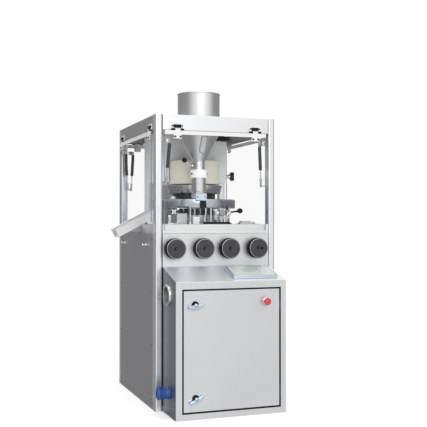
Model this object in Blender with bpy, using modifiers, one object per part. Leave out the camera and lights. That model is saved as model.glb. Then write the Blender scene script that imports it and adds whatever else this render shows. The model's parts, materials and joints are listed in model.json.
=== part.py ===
"""Rotary tablet press: floor-standing press with a glazed press chamber, a
gravity hopper through its roof, a front control cabinet and a discharge chute.

Metres, +Z up. Origin: centre of the main body's footprint, on the floor.
The front faces -Y and +X is to the right of someone standing in front.
"""

import math

import bmesh
import bpy
from mathutils import Matrix, Vector

# ------------------------------------------------------------------ dimensions
GAP = 0.0005                # clearance between neighbouring pieces
BODY_W = 0.722              # main body, side to side
BODY_D = 0.874              # main body, front to back
HEADER_TOP = 1.650
HEADER_BOTTOM = 1.563
POST_X, POST_Y = 0.041, 0.052
DECK_LOW, DECK_TOP = 0.985, 1.036
SHEET = 0.012               # folded panel depth

CAB_HALF = 0.318            # control cabinet half width
CAB_BACK, CAB_FRONT = -0.4375, -0.682
CAB_TOP_FRONT, CAB_TOP_BACK = 0.729, 0.797
DOOR_X = (-0.274, 0.278)
DOOR_Z = (0.041, 0.6825)
DOOR_HINGE = (0.2825, -0.6815)
LATCHES = ((-0.210, 0.605, 8.0), (-0.207, 0.109, 27.0))
ESTOP = (0.198, 0.615)

WHEEL_X = (-0.255, -0.087, 0.068, 0.238)
WHEEL_Z = 0.900
WHEEL_R = 0.058

TURRET = (0.0, -0.030)      # turret axis
HOPPER = (-0.0443, -0.250)  # hopper axis
DIE_TABLE_R = 0.150
PUNCH_PCD_R = 0.115
PUNCHES = 12
RING_R = 0.253
DRUM_R = 0.155

WORM_Y, WORM_Z = 0.137, 0.720
MOTOR_Y, MOTOR_Z = 0.270, 0.200
PULLEY_X = (0.205, 0.235)
DRIVE_PULLEY_R, MOTOR_PULLEY_R = 0.060, 0.040

GLASS_T = 0.0075
HINGE_OUT = 0.009           # hinge axis ahead of the header's face
HINGE_Z = 1.5665
STRUT_TOP_IN, STRUT_TOP_Z = 0.026, 1.503     # window pivot of a gas strut
STRUT_LOW_IN, STRUT_LOW_Z = 0.045, 1.261     # post pivot of a gas strut

CHUTE_Y = (-0.130, -0.010)
CHUTE_ANGLE = math.radians(27.5)
CHUTE_OUT, CHUTE_IN = -0.493, -0.258
CHUTE_Z = 0.962

HX, HY = BODY_W / 2, BODY_D / 2
PX, PY = HX - POST_X, HY - POST_Y            # inner corner of the posts

# ------------------------------------------------------------------ scene setup
for old in list(bpy.data.objects):
    bpy.data.objects.remove(old, do_unlink=True)
for old in list(bpy.data.meshes):
    bpy.data.meshes.remove(old)

PRESS = bpy.data.collections.new("tablet_press")
CUTTERS = bpy.data.collections.new("cutters")
bpy.context.scene.collection.children.link(PRESS)
bpy.context.scene.collection.children.link(CUTTERS)

FINISHES = {
    "post_paint": ((0.86, 0.87, 0.88), 0.35, 0.0),
    "panel_light": ((0.72, 0.73, 0.75), 0.38, 0.7),
    "panel_dark": ((0.25, 0.25, 0.27), 0.40, 0.7),
    "cast_light": ((0.62, 0.64, 0.67), 0.45, 0.6),
    "steel": ((0.66, 0.67, 0.69), 0.25, 1.0),
    "chrome": ((0.80, 0.81, 0.83), 0.10, 1.0),
    "cream": ((0.83, 0.80, 0.70), 0.40, 0.0),
    "black_plastic": ((0.03, 0.03, 0.035), 0.45, 0.0),
    "red_plastic": ((0.62, 0.04, 0.03), 0.30, 0.0),
    "blue_plastic": ((0.03, 0.16, 0.45), 0.35, 0.0),
    "pale_blue": ((0.60, 0.70, 0.76), 0.40, 0.1),
    "acrylic": ((0.90, 0.95, 0.96), 0.05, 0.0),
    "bronze": ((0.55, 0.36, 0.16), 0.35, 1.0),
    "motor_paint": ((0.15, 0.24, 0.30), 0.45, 0.0),
}
MATERIALS = {}
for finish, (colour, roughness, metallic) in FINISHES.items():
    made = bpy.data.materials.new(finish)
    made.use_nodes = True
    shader = made.node_tree.nodes["Principled BSDF"]
    shader.inputs["Base Color"].default_value = (*colour, 1.0)
    shader.inputs["Roughness"].default_value = roughness
    shader.inputs["Metallic"].default_value = metallic
    MATERIALS[finish] = made


# ------------------------------------------------------------------ helpers
def put(name, bm):
    """A mesh object from bm, kept as a helper until done() makes it a part."""
    mesh = bpy.data.meshes.new(name)
    bmesh.ops.recalc_face_normals(bm, faces=bm.faces)
    if bm.calc_volume(signed=True) < 0:
        bmesh.ops.reverse_faces(bm, faces=bm.faces)
    bm.to_mesh(mesh)
    bm.free()
    obj = bpy.data.objects.new(name, mesh)
    CUTTERS.objects.link(obj)
    obj.hide_render = True
    obj.display_type = "WIRE"
    return obj


def done(obj, finish, origin=None, name=None):
    """Moves a helper into the press, with its finish and its own origin."""
    CUTTERS.objects.unlink(obj)
    PRESS.objects.link(obj)
    obj.hide_render = False
    obj.display_type = "TEXTURED"
    if name:
        obj.name = name
    obj.data.materials.clear()
    obj.data.materials.append(MATERIALS[finish])
    if origin is not None:
        obj.data.transform(Matrix.Translation(-Vector(origin)) @ obj.matrix_basis)
        obj.matrix_basis = Matrix.Translation(origin)
    if obj.data.polygons:
        obj.data.shade_smooth()
        obj.data.set_sharp_from_angle(angle=math.radians(35))
    return obj


def box(name, low, high, round_r=0.0, along=None, steps=2):
    """A block; the edges along one axis, or all of them, may be rounded."""
    low, high = Vector(low), Vector(high)
    bm = bmesh.new()
    bmesh.ops.create_cube(bm, size=1.0)
    bmesh.ops.scale(bm, vec=high - low, verts=bm.verts)
    bmesh.ops.translate(bm, vec=(low + high) / 2, verts=bm.verts)
    if round_r:
        edges = [
            e
            for e in bm.edges
            if along is None
            or abs((e.verts[0].co - e.verts[1].co).normalized()[along]) > 0.9
        ]
        bmesh.ops.bevel(
            bm, geom=edges, offset=round_r, segments=steps, profile=0.5, affect="EDGES"
        )
    return put(name, bm)


def rod(name, start, end, r, r_end=None, sides=24):
    start, end = Vector(start), Vector(end)
    way = end - start
    bm = bmesh.new()
    bmesh.ops.create_cone(
        bm,
        cap_ends=True,
        cap_tris=False,
        segments=sides,
        radius1=r,
        radius2=r if r_end is None else r_end,
        depth=way.length,
    )
    turn = Vector((0, 0, 1)).rotation_difference(way.normalized()).to_matrix().to_4x4()
    bm.transform(Matrix.Translation((start + end) / 2) @ turn)
    return put(name, bm)


def ball(name, centre, r, u=12, v=8):
    bm = bmesh.new()
    bmesh.ops.create_uvsphere(bm, u_segments=u, v_segments=v, radius=r)
    bmesh.ops.translate(bm, vec=centre, verts=bm.verts)
    return put(name, bm)


def turned(name, profile, at=(0, 0, 0), turn=None, sides=32, ring=False):
    """A profile of (radius, height) points, outer side top to bottom, turned
    about Z; `turn` then tips the axis over. A ring's profile closes on itself."""
    mesh = bpy.data.meshes.new(name)
    points = [(r, 0.0, z) for r, z in profile]
    edges = [(i, i + 1) for i in range(len(points) - 1)]
    if ring:
        edges.append((len(points) - 1, 0))
    mesh.from_pydata(points, edges, [])
    obj = bpy.data.objects.new(name, mesh)
    CUTTERS.objects.link(obj)
    obj.hide_render = True
    obj.display_type = "WIRE"
    obj.matrix_basis = Matrix.Translation(at) @ (turn or Matrix())
    screw = obj.modifiers.new("turn", "SCREW")
    screw.axis = "Z"
    screw.angle = 2 * math.pi
    screw.steps = screw.render_steps = sides
    screw.use_merge_vertices = True
    screw.merge_threshold = 0.00001
    screw.use_smooth_shade = True
    return obj


# cyclic turns that lay a flat outline into the named plane
PLANES = {
    "XY": Matrix.Identity(4),
    "XZ": Matrix(((1, 0, 0, 0), (0, 0, -1, 0), (0, 1, 0, 0), (0, 0, 0, 1))),
    "YZ": Matrix(((0, 0, 1, 0), (1, 0, 0, 0), (0, 1, 0, 0), (0, 0, 0, 1))),
}


def plate(name, outline, low, high, plane="XY", then=None):
    """A flat outline, extruded from low to high across its plane."""
    curve = bpy.data.curves.new(name, "CURVE")
    curve.dimensions = "2D"
    curve.fill_mode = "NONE"    # the walls only: each end is then one flat face
    curve.extrude = (high - low) / 2
    spline = curve.splines.new("POLY")
    spline.points.add(len(outline) - 1)
    for point, (a, b) in zip(spline.points, outline):
        point.co = (a, b, 0.0, 1.0)
    spline.use_cyclic_u = True
    source = bpy.data.objects.new(name + "_outline", curve)
    CUTTERS.objects.link(source)
    graph = bpy.context.evaluated_depsgraph_get()
    mesh = bpy.data.meshes.new_from_object(source.evaluated_get(graph))
    bm = bmesh.new()
    bm.from_mesh(mesh)
    bmesh.ops.remove_doubles(bm, verts=bm.verts, dist=1e-6)
    bmesh.ops.holes_fill(bm, edges=bm.edges, sides=0)
    middle = (low + high) / 2 * (-1 if plane == "XZ" else 1)
    place = PLANES[plane] @ Matrix.Translation((0, 0, middle))
    bm.transform((then or Matrix()) @ place)
    bpy.data.objects.remove(source, do_unlink=True)
    bpy.data.curves.remove(curve)
    bpy.data.meshes.remove(mesh)
    return put(name, bm)


def combine(obj, add=(), cut=()):
    for kind, others in (("UNION", add), ("DIFFERENCE", cut)):
        for number, other in enumerate(others):
            step = obj.modifiers.new(f"{kind.lower()}_{number}", "BOOLEAN")
            step.operation = kind
            step.solver = "EXACT"
            step.object = other
    return obj


def cross(px, py, hx, hy):
    """A rectangle with a square notch out of each corner."""
    return [
        (-px, -hy), (px, -hy), (px, -py), (hx, -py), (hx, py), (px, py),
        (px, hy), (-px, hy), (-px, py), (-hx, py), (-hx, -py), (-px, -py),
    ]


def empty(name, at):
    holder = bpy.data.objects.new(name, None)
    holder.empty_display_size = 0.05
    PRESS.objects.link(holder)
    holder.location = at
    return holder


def under(holder, *objs):
    """Parents objects to an empty on their joint's axis, where they stand."""
    for obj in objs:
        obj.parent = holder
        obj.matrix_parent_inverse = Matrix.Translation(-holder.location)


def spin(axis, degrees):
    return Matrix.Rotation(math.radians(degrees), 4, axis)


# ------------------------------------------------------------------ lower body
side_x, side_y = PX - GAP, PY - GAP          # between the posts
edge_x, edge_y = HX - GAP, HY - GAP          # just inside the outer faces

done(
    plate("base_plate", cross(side_x, side_y, edge_x, edge_y), 0.0, 0.030),
    "panel_dark",
)

STUD_X = 0.0245   # post studs reach in to 0.5 mm from a strut's eye
for post, sx, sy in (
    ("post_front_left", -1, -1),
    ("post_front_right", 1, -1),
    ("post_rear_left", -1, 1),
    ("post_rear_right", 1, 1),
):
    xs, ys = sorted((sx * HX, sx * PX)), sorted((sy * HY, sy * PY))
    column = box(
        post, (xs[0], ys[0], 0.0), (xs[1], ys[1], HEADER_TOP), 0.010, along=2, steps=3
    )
    studs = []
    strut_y = sy * (HY - GAP + HINGE_OUT - STRUT_LOW_IN)
    if post != "post_rear_right":
        studs.append(
            rod(
                post + "_stud",
                (sx * (PX + 0.002), strut_y, STRUT_LOW_Z),
                (sx * (PX - STUD_X), strut_y, STRUT_LOW_Z),
                0.004,
                sides=12,
            )
        )
    if post == "post_rear_left":
        left_x = -(HX - GAP + HINGE_OUT - STRUT_LOW_IN)
        studs.append(
            rod(
                post + "_side_stud",
                (left_x, PY + 0.002, STRUT_LOW_Z),
                (left_x, PY - STUD_X, STRUT_LOW_Z),
                0.004,
                sides=12,
            )
        )
    done(combine(column, add=studs), "post_paint")

for side, sx in (("left", -1), ("right", 1)):
    xs = sorted((sx * edge_x, sx * (edge_x - SHEET)))
    panel = box(
        side + "_side_panel",
        (xs[0], -side_y, 0.0305),
        (xs[1], side_y, DECK_LOW - GAP),
        0.002,
        along=2,
        steps=1,
    )
    knobs = []
    for n, y in enumerate((-0.237, 0.290)):
        out = sx * edge_x
        knobs.append(
            rod(f"{side}_knob_stem_{n}", (out - sx * 0.003, y, 0.917),
                (out + sx * 0.019, y, 0.917), 0.006, sides=12)
        )
        knobs.append(
            rod(f"{side}_knob_head_{n}", (out + sx * 0.016, y, 0.917),
                (out + sx * 0.025, y, 0.917), 0.0105, 0.009, sides=12)
        )
    done(combine(panel, add=knobs), "panel_dark")

done(
    box("rear_panel", (-side_x, edge_y - SHEET, 0.0305), (side_x, edge_y, DECK_LOW - GAP),
        0.002, along=2, steps=1),
    "panel_dark",
)

# ------------------------------------------------------------------ deck and header
deck_outline = [
    (-side_x, -edge_y), (side_x, -edge_y), (side_x, -side_y), (edge_x, -side_y),
    (edge_x, side_y), (side_x, side_y), (side_x, edge_y), (-side_x, edge_y),
    (-side_x, side_y), (-0.335, side_y), (-0.335, -0.146), (-edge_x, -0.146),
    (-edge_x, -side_y), (-side_x, -side_y),
]
deck = plate("deck_plate", deck_outline, DECK_LOW, DECK_TOP)
done(
    combine(deck, cut=[rod("shaft_hole", (*TURRET, 0.97), (*TURRET, 1.05), 0.045)]),
    "panel_light",
)

wheel_holes = [
    rod(f"wheel_hole_{n}", (x, -0.45, WHEEL_Z), (x, -0.41, WHEEL_Z), 0.0125, sides=16)
    for n, x in enumerate(WHEEL_X)
]
done(
    combine(
        box("handwheel_panel", (-side_x, -edge_y, CAB_TOP_BACK + GAP),
            (side_x, -edge_y + SHEET, DECK_LOW - GAP)),
        cut=wheel_holes,
    ),
    "panel_light",
)

# fixed hinge leaves, two for each window, turned to the four sides
SIDES = {
    "front": (spin("Z", 0), edge_y, 0.235, (-0.310, 0.300)),
    "left": (spin("Z", -90), edge_x, 0.330, (-0.370, 0.370)),
    "right": (spin("Z", 90), edge_x, 0.330, (-0.370, 0.370)),
    "rear": (spin("Z", 180), edge_y, 0.235, (-0.305, 0.305)),
}
leaves = []
for side, (turn, face, hinge_x, _) in SIDES.items():
    axis_y = -face - HINGE_OUT
    for n, x in enumerate((-hinge_x, hinge_x)):
        tag = f"{side}_fixed_leaf_{n}"
        leaf_outline = [
            (x - 0.0345, 1.564), (x - 0.0164, 1.564), (x - 0.0164, 1.5735),
            (x + 0.0164, 1.5735), (x + 0.0164, 1.564), (x + 0.0345, 1.564),
            (x + 0.0345, 1.603), (x - 0.0345, 1.603),
        ]
        leaf = plate(tag, leaf_outline, -face - 0.0045, -face + 0.002, "XZ")
        barrels = [
            rod(f"{tag}_barrel_{k}", (x + a, axis_y, HINGE_Z), (x + b, axis_y, HINGE_Z),
                0.006, sides=8)
            for k, (a, b) in enumerate(((-0.035, -0.0158), (0.0158, 0.035)))
        ]
        for piece in (leaf, *barrels):
            piece.data.transform(turn)
        leaves.append(combine(leaf, add=barrels))

header = plate("roof_header", cross(side_x, side_y, edge_x, edge_y), HEADER_BOTTOM, HEADER_TOP)
hollow = plate(
    "header_hollow",
    cross(side_x - SHEET, side_y - SHEET, edge_x - SHEET, edge_y - SHEET),
    HEADER_BOTTOM - 0.01,
    HEADER_TOP - 0.010,
)
roof_hole = rod("roof_hole", (*HOPPER, 1.60), (*HOPPER, 1.70), 0.1275, sides=32)
done(combine(header, add=leaves, cut=[hollow, roof_hole]), "panel_light")

# ------------------------------------------------------------------ control cabinet
slope = (CAB_TOP_BACK - CAB_TOP_FRONT) / (CAB_BACK - CAB_FRONT)


def top_at(y):
    return CAB_TOP_FRONT + (y - CAB_FRONT) * slope


wall = 0.010
shell = plate(
    "control_cabinet",
    [(CAB_BACK, 0.0), (CAB_FRONT, 0.0), (CAB_FRONT, CAB_TOP_FRONT), (CAB_BACK, CAB_TOP_BACK)],
    -CAB_HALF, CAB_HALF, "YZ",
)
inside = plate(
    "cabinet_inside",
    [
        (CAB_BACK - wall, wall), (CAB_FRONT + SHEET, wall),
        (CAB_FRONT + SHEET, top_at(CAB_FRONT + SHEET) - wall),
        (CAB_BACK - wall, top_at(CAB_BACK - wall) - wall),
    ],
    -CAB_HALF + wall, CAB_HALF - wall, "YZ",
)
door_hole = box("door_hole", (-0.283, -0.70, 0.032), (0.287, -0.665, 0.6915))
vent_ring = rod("vent_ring", (-CAB_HALF + 0.002, -0.538, 0.650), (-0.330, -0.538, 0.650),
                0.060, 0.057, sides=32)
vent_hole = rod("vent_hole", (-0.300, -0.538, 0.650), (-0.340, -0.538, 0.650), 0.045, sides=32)
done(combine(shell, add=[vent_ring], cut=[inside, door_hole, vent_hole]), "panel_light")

low_y, high_y = -0.655, -0.508
done(
    plate(
        "operator_panel",
        [
            (low_y, top_at(low_y) + GAP), (low_y, top_at(low_y) + 0.022),
            (high_y, top_at(high_y) + 0.022), (high_y, top_at(high_y) + GAP),
        ],
        0.020, 0.280, "YZ",
    ),
    "panel_light",
)

inlet = box("power_inlet", (-0.3265, -0.590, 0.091), (-0.3185, -0.520, 0.161), 0.004, along=0)
inlet_parts = [
    rod("inlet_barrel", (-0.323, -0.555, 0.126), (-0.383, -0.555, 0.126), 0.0235),
    rod("inlet_lip", (-0.371, -0.555, 0.126), (-0.385, -0.555, 0.126), 0.035, 0.033),
    box("inlet_hinge", (-0.384, -0.575, 0.145), (-0.352, -0.535, 0.170), 0.004, along=0),
]
done(combine(inlet, add=inlet_parts), "blue_plastic")

# door, its latches and the emergency stop
door_holder = empty("cabinet_door_hinge", (*DOOR_HINGE, 0.36))
door = box(
    "cabinet_door",
    (DOOR_X[0], -0.681, DOOR_Z[0]), (DOOR_X[1], -0.661, DOOR_Z[1]), 0.0015, steps=1,
)
collar = rod("stop_collar", (ESTOP[0], -0.670, ESTOP[1]), (ESTOP[0], -0.690, ESTOP[1]),
             0.0285, 0.0265)
door_cuts = [
    rod("stop_bore", (ESTOP[0], -0.672, ESTOP[1]), (ESTOP[0], -0.70, ESTOP[1]), 0.0130)
] + [
    rod(f"latch_bore_{n}", (x, -0.65, z), (x, -0.69, z), 0.0078, sides=16)
    for n, (x, z, _) in enumerate(LATCHES)
]
combine(door, add=[collar], cut=door_cuts)
under(door_holder, done(door, "panel_light", origin=(*DOOR_HINGE, 0.36)))
door.matrix_parent_inverse = Matrix.Translation(-door_holder.location)

for name, (x, z, tilt) in zip(("latch_upper", "latch_lower"), LATCHES):
    tip = Matrix.Translation((x, 0, z)) @ Matrix.Rotation(-math.radians(tilt), 4, "Y")
    wing_outline = []
    for k in range(16):
        t = 2 * math.pi * k / 16
        a = 0.0425 * math.cos(t)
        wing_outline.append((a, 0.0095 * math.sin(t) - 0.006 + 8.0 * a * a))
    rosette = rod(name, (x, -0.6815, z), (x, -0.6880, z), 0.0235, 0.0215)
    wing = plate(name + "_wing", wing_outline, -0.7010, -0.6870, "XZ", tip)
    dome = rod(name + "_dome", (x, -0.6860, z), (x, -0.7060, z), 0.0130, 0.0095, sides=16)
    spindle = rod(name + "_spindle", (x, -0.6850, z), (x, -0.6520, z), 0.0070, sides=16)
    cam = box(name + "_cam", (-0.055, -0.6580, -0.008), (0.010, -0.6530, 0.008))
    cam.data.transform(tip)
    combine(rosette, add=[wing, dome, spindle, cam])
    done(rosette, "chrome", origin=(x, -0.690, z))

stop_turn = Matrix.Rotation(math.radians(90), 4, "X")   # +Z of the profile to -Y
done(
    turned(
        "emergency_stop_button",
        [(0.0, 0.0355), (0.012, 0.0345), (0.0175, 0.031), (0.020, 0.026), (0.0195, 0.021),
         (0.0122, 0.018), (0.0122, -0.001), (0.0, -0.001)],
        (ESTOP[0], -0.681, ESTOP[1]), stop_turn, sides=24,
    ),
    "red_plastic",
)

# ------------------------------------------------------------------ handwheels
for n, x in enumerate(WHEEL_X):
    done(
        turned(
            f"handwheel_{n + 1}",
            [(0.0, 0.058), (0.015, 0.058), (0.019, 0.045), (0.040, 0.045), (0.044, 0.055),
             (0.053, 0.055), (0.058, 0.050), (0.058, 0.012), (0.051, 0.006),
             (0.010, 0.006), (0.010, -0.035), (0.0, -0.035)],
            (x, -edge_y, WHEEL_Z), stop_turn, sides=20,
        ),
        "black_plastic",
    )

# ------------------------------------------------------------------ drive
housing = box("gearbox_housing", (-0.110, -0.140, 0.0305), (0.110, 0.165, 0.640))
ears = [
    box(f"worm_ear_{n}", (a, 0.112, 0.630), (a + 0.020, 0.162, 0.750))
    for n, a in enumerate((-0.110, 0.090))
]
foot_bearing = rod("foot_bearing", (*TURRET, 0.635), (*TURRET, 0.688), 0.050)
done(
    combine(
        housing,
        add=[*ears, foot_bearing],
        cut=[
            rod("foot_bore", (*TURRET, 0.650), (*TURRET, 0.70), 0.0307, sides=32),
            rod("worm_bore", (-0.13, WORM_Y, WORM_Z), (0.13, WORM_Y, WORM_Z), 0.0128, sides=16),
        ],
    ),
    "cast_light",
)
done(rod("main_shaft", (*TURRET, 0.6505), (*TURRET, 1.300), 0.030, sides=32), "steel",
     origin=(*TURRET, 0.6505))
done(
    turned(
        "worm_wheel",
        [(0.0306, 0.752), (0.052, 0.752), (0.052, 0.742), (0.138, 0.742), (0.140, 0.740),
         (0.140, 0.702), (0.138, 0.700), (0.052, 0.700), (0.052, 0.690), (0.0306, 0.690)],
        (*TURRET, 0.0), sides=28, ring=True,
    ),
    "bronze",
)
along_x = Matrix.Rotation(math.radians(90), 4, "Y")      # profile +Z to +X
done(
    turned(
        "worm_shaft",
        [(0.0, 0.2405), (0.012, 0.2405), (0.012, PULLEY_X[1]), (DRIVE_PULLEY_R, PULLEY_X[1]),
         (DRIVE_PULLEY_R, PULLEY_X[0]), (0.012, PULLEY_X[0]), (0.012, 0.060), (0.024, 0.055),
         (0.024, -0.055), (0.012, -0.060), (0.012, -0.125), (0.0, -0.125)],
        (0.0, WORM_Y, WORM_Z), along_x, sides=16,
    ),
    "steel",
)
motor = rod("drive_motor", (-0.150, MOTOR_Y, MOTOR_Z), (0.130, MOTOR_Y, MOTOR_Z), 0.080)
done(
    combine(
        motor,
        add=[
            rod("motor_nose", (0.120, MOTOR_Y, MOTOR_Z), (0.150, MOTOR_Y, MOTOR_Z), 0.030),
            box("motor_foot", (-0.12, MOTOR_Y - 0.07, 0.0305), (0.10, MOTOR_Y + 0.07, 0.150)),
            box("terminal_box", (-0.05, MOTOR_Y - 0.03, 0.26), (0.03, MOTOR_Y + 0.03, 0.305)),
        ],
    ),
    "motor_paint",
)
done(
    turned(
        "motor_pulley",
        [(0.0, 0.2365), (0.012, 0.2365), (0.012, PULLEY_X[1]), (MOTOR_PULLEY_R, PULLEY_X[1]),
         (MOTOR_PULLEY_R, PULLEY_X[0]), (0.012, PULLEY_X[0]), (0.012, 0.1505), (0.0, 0.1505)],
        (0.0, MOTOR_Y, MOTOR_Z), along_x, sides=16,
    ),
    "steel",
)

# ------------------------------------------------------------------ press chamber
done(
    combine(
        plate(
            "head_casting",
            [(-0.030, 1.295), (-0.030, 1.620), (0.345, 1.620), (0.345, DECK_TOP + GAP),
             (0.240, DECK_TOP + GAP), (0.240, 1.295)],
            -0.215, 0.215, "YZ",
        ),
        cut=[rod("drum_recess", (*TURRET, 1.27), (*TURRET, 1.4220), DRUM_R + 0.0035, sides=32)],
    ),
    "cast_light",
)
done(
    combine(
        rod("upper_cam_cover", (*TURRET, 1.2785), (*TURRET, 1.4210), DRUM_R, sides=32),
        cut=[rod("cam_room", (*TURRET, 1.27), (*TURRET, 1.410), DRUM_R - 0.008, sides=32)],
    ),
    "cream",
    origin=(*TURRET, 1.2785),
)
done(
    turned(
        "dust_ring",
        [(0.1345, 1.2720), (0.1700, 1.2720), (0.1720, 1.2700), (0.1600, 1.2225),
         (0.1345, 1.2225)],
        (*TURRET, 0.0), sides=32, ring=True,
    ),
    "steel",
)
done(
    turned(
        "turret",
        [(0.0306, 1.2620), (0.1320, 1.2620), (0.1320, 1.2265), (0.0850, 1.2265),
         (0.0850, 1.1780), (DIE_TABLE_R - 0.002, 1.1780), (DIE_TABLE_R, 1.1760),
         (DIE_TABLE_R, 1.1285), (0.0850, 1.1285), (0.0850, 1.0920), (0.1350, 1.0920),
         (0.1350, 1.0500), (0.0306, 1.0500)],
        (*TURRET, 0.0), sides=28, ring=True,
    ),
    "steel",
)
for name, ring_low, ring_high, tip_low, tip_high in (
    ("upper_punch_set", 1.2185, 1.2260, 1.1785, 1.2200),
    ("lower_punch_set", 1.0925, 1.1000, 1.0985, 1.1280),
):
    holder_ring = turned(
        name,
        [(0.1000, ring_high), (0.1300, ring_high), (0.1300, ring_low), (0.1000, ring_low)],
        (*TURRET, 0.0), sides=24, ring=True,
    )
    punches = []
    for k in range(PUNCHES):
        t = 2 * math.pi * (k + 0.5) / PUNCHES
        x, y = TURRET[0] + PUNCH_PCD_R * math.cos(t), TURRET[1] + PUNCH_PCD_R * math.sin(t)
        punches.append(rod(f"{name}_{k}", (x, y, tip_low), (x, y, tip_high), 0.009, sides=8))
    done(combine(holder_ring, add=punches), "steel")

guard = turned(
    "table_guard_ring",
    [(0.1530, 1.1850), (RING_R - 0.002, 1.1850), (RING_R, 1.1830), (RING_R, 1.1350),
     (RING_R - 0.002, 1.1330), (0.1530, 1.1330)],
    (*TURRET, 0.0), sides=36, ring=True,
)
pillars = [
    rod(f"pillar_{n}", (x, y, DECK_TOP + GAP), (x, y, 1.140), 0.006, sides=8)
    for n, (x, y) in enumerate(
        ((-0.0969, -0.2496), (0.0278, -0.2620), (-0.160, 0.130), (0.160, 0.130))
    )
]
done(combine(guard, add=pillars), "steel")

# ------------------------------------------------------------------ feed
done(
    turned(
        "hopper",
        [(0.1234, 1.8000), (0.1234, 1.5660), (0.0350, 1.4033), (0.0350, 1.3565),
         (0.0320, 1.3565), (0.0320, 1.4045), (0.1204, 1.5675), (0.1204, 1.8000)],
        (*HOPPER, 0.0), sides=32, ring=True,
    ),
    "steel",
)
done(
    turned(
        "hopper_clamp_collar",
        [(0.0355, 1.3560), (0.0486, 1.3560), (0.0496, 1.3550), (0.0496, 1.3090),
         (0.0486, 1.3080), (0.0355, 1.3080)],
        (*HOPPER, 0.0), ring=True,
    ),
    "post_paint",
)
done(
    turned(
        "feed_tube",
        [(0.0388, 1.3075), (0.0418, 1.3075), (0.0418, 1.2160), (0.0388, 1.2160)],
        (*HOPPER, 0.0), ring=True,
    ),
    "chrome",
)
done(
    combine(
        plate(
            "feeder_block",
            [(-0.3000, 1.1744), (-0.3000, 1.2155), (-0.2150, 1.2155), (-0.2150, 1.1860),
             (-0.2845, 1.1860), (-0.2845, 1.1744)],
            HOPPER[0] - 0.033, HOPPER[0] + 0.033, "YZ",
        ),
        cut=[rod("feed_bore", (*HOPPER, 1.170), (*HOPPER, 1.230), 0.024)],
    ),
    "pale_blue",
)

lever_x, lever_y, lever_z = HOPPER[0] - 0.0358, HOPPER[1], 1.380
stub = rod("hopper_gate_lever", (lever_x, lever_y, lever_z), (-0.108, lever_y, lever_z),
           0.0065, sides=12)
done(
    combine(
        stub,
        add=[
            rod("gate_arm", (-0.102, lever_y, lever_z - 0.002), (-0.1317, lever_y, 1.412),
                0.0055, sides=12),
            ball("gate_ball", (-0.1317, lever_y, 1.412), 0.0155),
        ],
    ),
    "black_plastic",
    origin=(lever_x, lever_y, lever_z),
)

# clamp knob and swing lever in front of the turret, on posts from the deck
knob = ball("feeder_clamp_knob", (-0.148, -0.2800, 1.114), 0.0165)
done(
    combine(knob, add=[rod("knob_stem", (-0.148, -0.275, 1.114), (-0.148, -0.2500, 1.114),
                           0.0055, sides=12)]),
    "black_plastic",
    origin=(-0.148, -0.280, 1.114),
)
hub = rod("ejector_lever", (0.140, -0.2700, 1.104), (0.140, -0.2490, 1.104), 0.0210)
done(
    combine(
        hub,
        add=[
            rod("ejector_arm", (0.140, -0.2590, 1.104), (0.216, -0.2540, 1.1165), 0.0055,
                sides=12),
            ball("ejector_ball", (0.216, -0.2540, 1.1165), 0.0160),
        ],
    ),
    "black_plastic",
    origin=(0.140, -0.259, 1.104),
)

lobes = []
for k in range(24):
    t = 2 * math.pi * k / 24
    r = 0.0235 + 0.0065 * math.cos(3 * t)
    lobes.append((r * math.cos(t), 1.336 + r * math.sin(t)))
done(
    combine(
        plate("head_knob", lobes, 0.2470, 0.2720, "YZ"),
        add=[rod("head_knob_stem", (0.2155, 0.0, 1.336), (0.2490, 0.0, 1.336), 0.0110, sides=16)],
    ),
    "black_plastic",
    origin=(0.2155, 0.0, 1.336),
)

# ------------------------------------------------------------------ chute
t_low, t_wall = 0.048, 0.003
chute_len = (CHUTE_IN - CHUTE_OUT) / math.cos(CHUTE_ANGLE)
tip = Matrix.Translation((CHUTE_OUT, 0, CHUTE_Z)) @ Matrix.Rotation(-CHUTE_ANGLE, 4, "Y")
y0, y1 = CHUTE_Y
done(
    plate(
        "discharge_chute",
        [(y0, 0.0), (y1, 0.0), (y1, t_low), (y1 - t_wall, t_low), (y1 - t_wall, t_wall),
         (y0 + t_wall, t_wall), (y0 + t_wall, t_low), (y0, t_low)],
        0.0, chute_len, "YZ", tip,
    ),
    "steel",
)

# ------------------------------------------------------------------ windows
for side, (turn, face, hinge_x, (w0, w1)) in SIDES.items():
    axis_y = -face - HINGE_OUT
    axis_at = turn @ Vector((0, axis_y, HINGE_Z))
    back, front = -face - 0.0015, -face - 0.0015 - GLASS_T
    low = 1.048 if side == "left" else 1.000
    top = 1.5600
    if side == "left":
        # local +X is world -Y here: the notch clears the discharge chute
        outline = [(w0, low), (0.000, low), (0.000, 1.095), (0.140, 1.095), (0.140, low),
                   (w1, low), (w1, top), (w0, top)]
    else:
        outline = [(w0, low), (w1, low), (w1, top), (w0, top)]
    glass = plate(f"{side}_window", outline, front, back, "XZ", turn)
    done(glass, "acrylic", origin=axis_at)

    rail_low, leaf_low, tab = 1.538, 1.5265, 1.5635
    outline = [(w0, top), (w0, rail_low)]
    for x in (-hinge_x, hinge_x):
        outline += [(x - 0.022, rail_low), (x - 0.022, leaf_low), (x + 0.022, leaf_low),
                    (x + 0.022, rail_low)]
    outline += [(w1, rail_low), (w1, top)]
    for x in (hinge_x, -hinge_x):
        outline += [(x + 0.0138, top), (x + 0.0138, tab), (x - 0.0138, tab), (x - 0.0138, top)]
    rail = plate(f"{side}_hinge_rail", outline, front - 0.0045, front - GAP, "XZ", turn)
    knuckles = []
    for n, x in enumerate((-hinge_x, hinge_x)):
        knuckle = rod(f"{side}_knuckle_{n}", (x - 0.0150, axis_y, HINGE_Z),
                      (x + 0.0150, axis_y, HINGE_Z), 0.006, sides=8)
        knuckle.data.transform(turn)
        knuckles.append(knuckle)
    done(combine(rail, add=knuckles), "post_paint", origin=axis_at)

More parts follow.
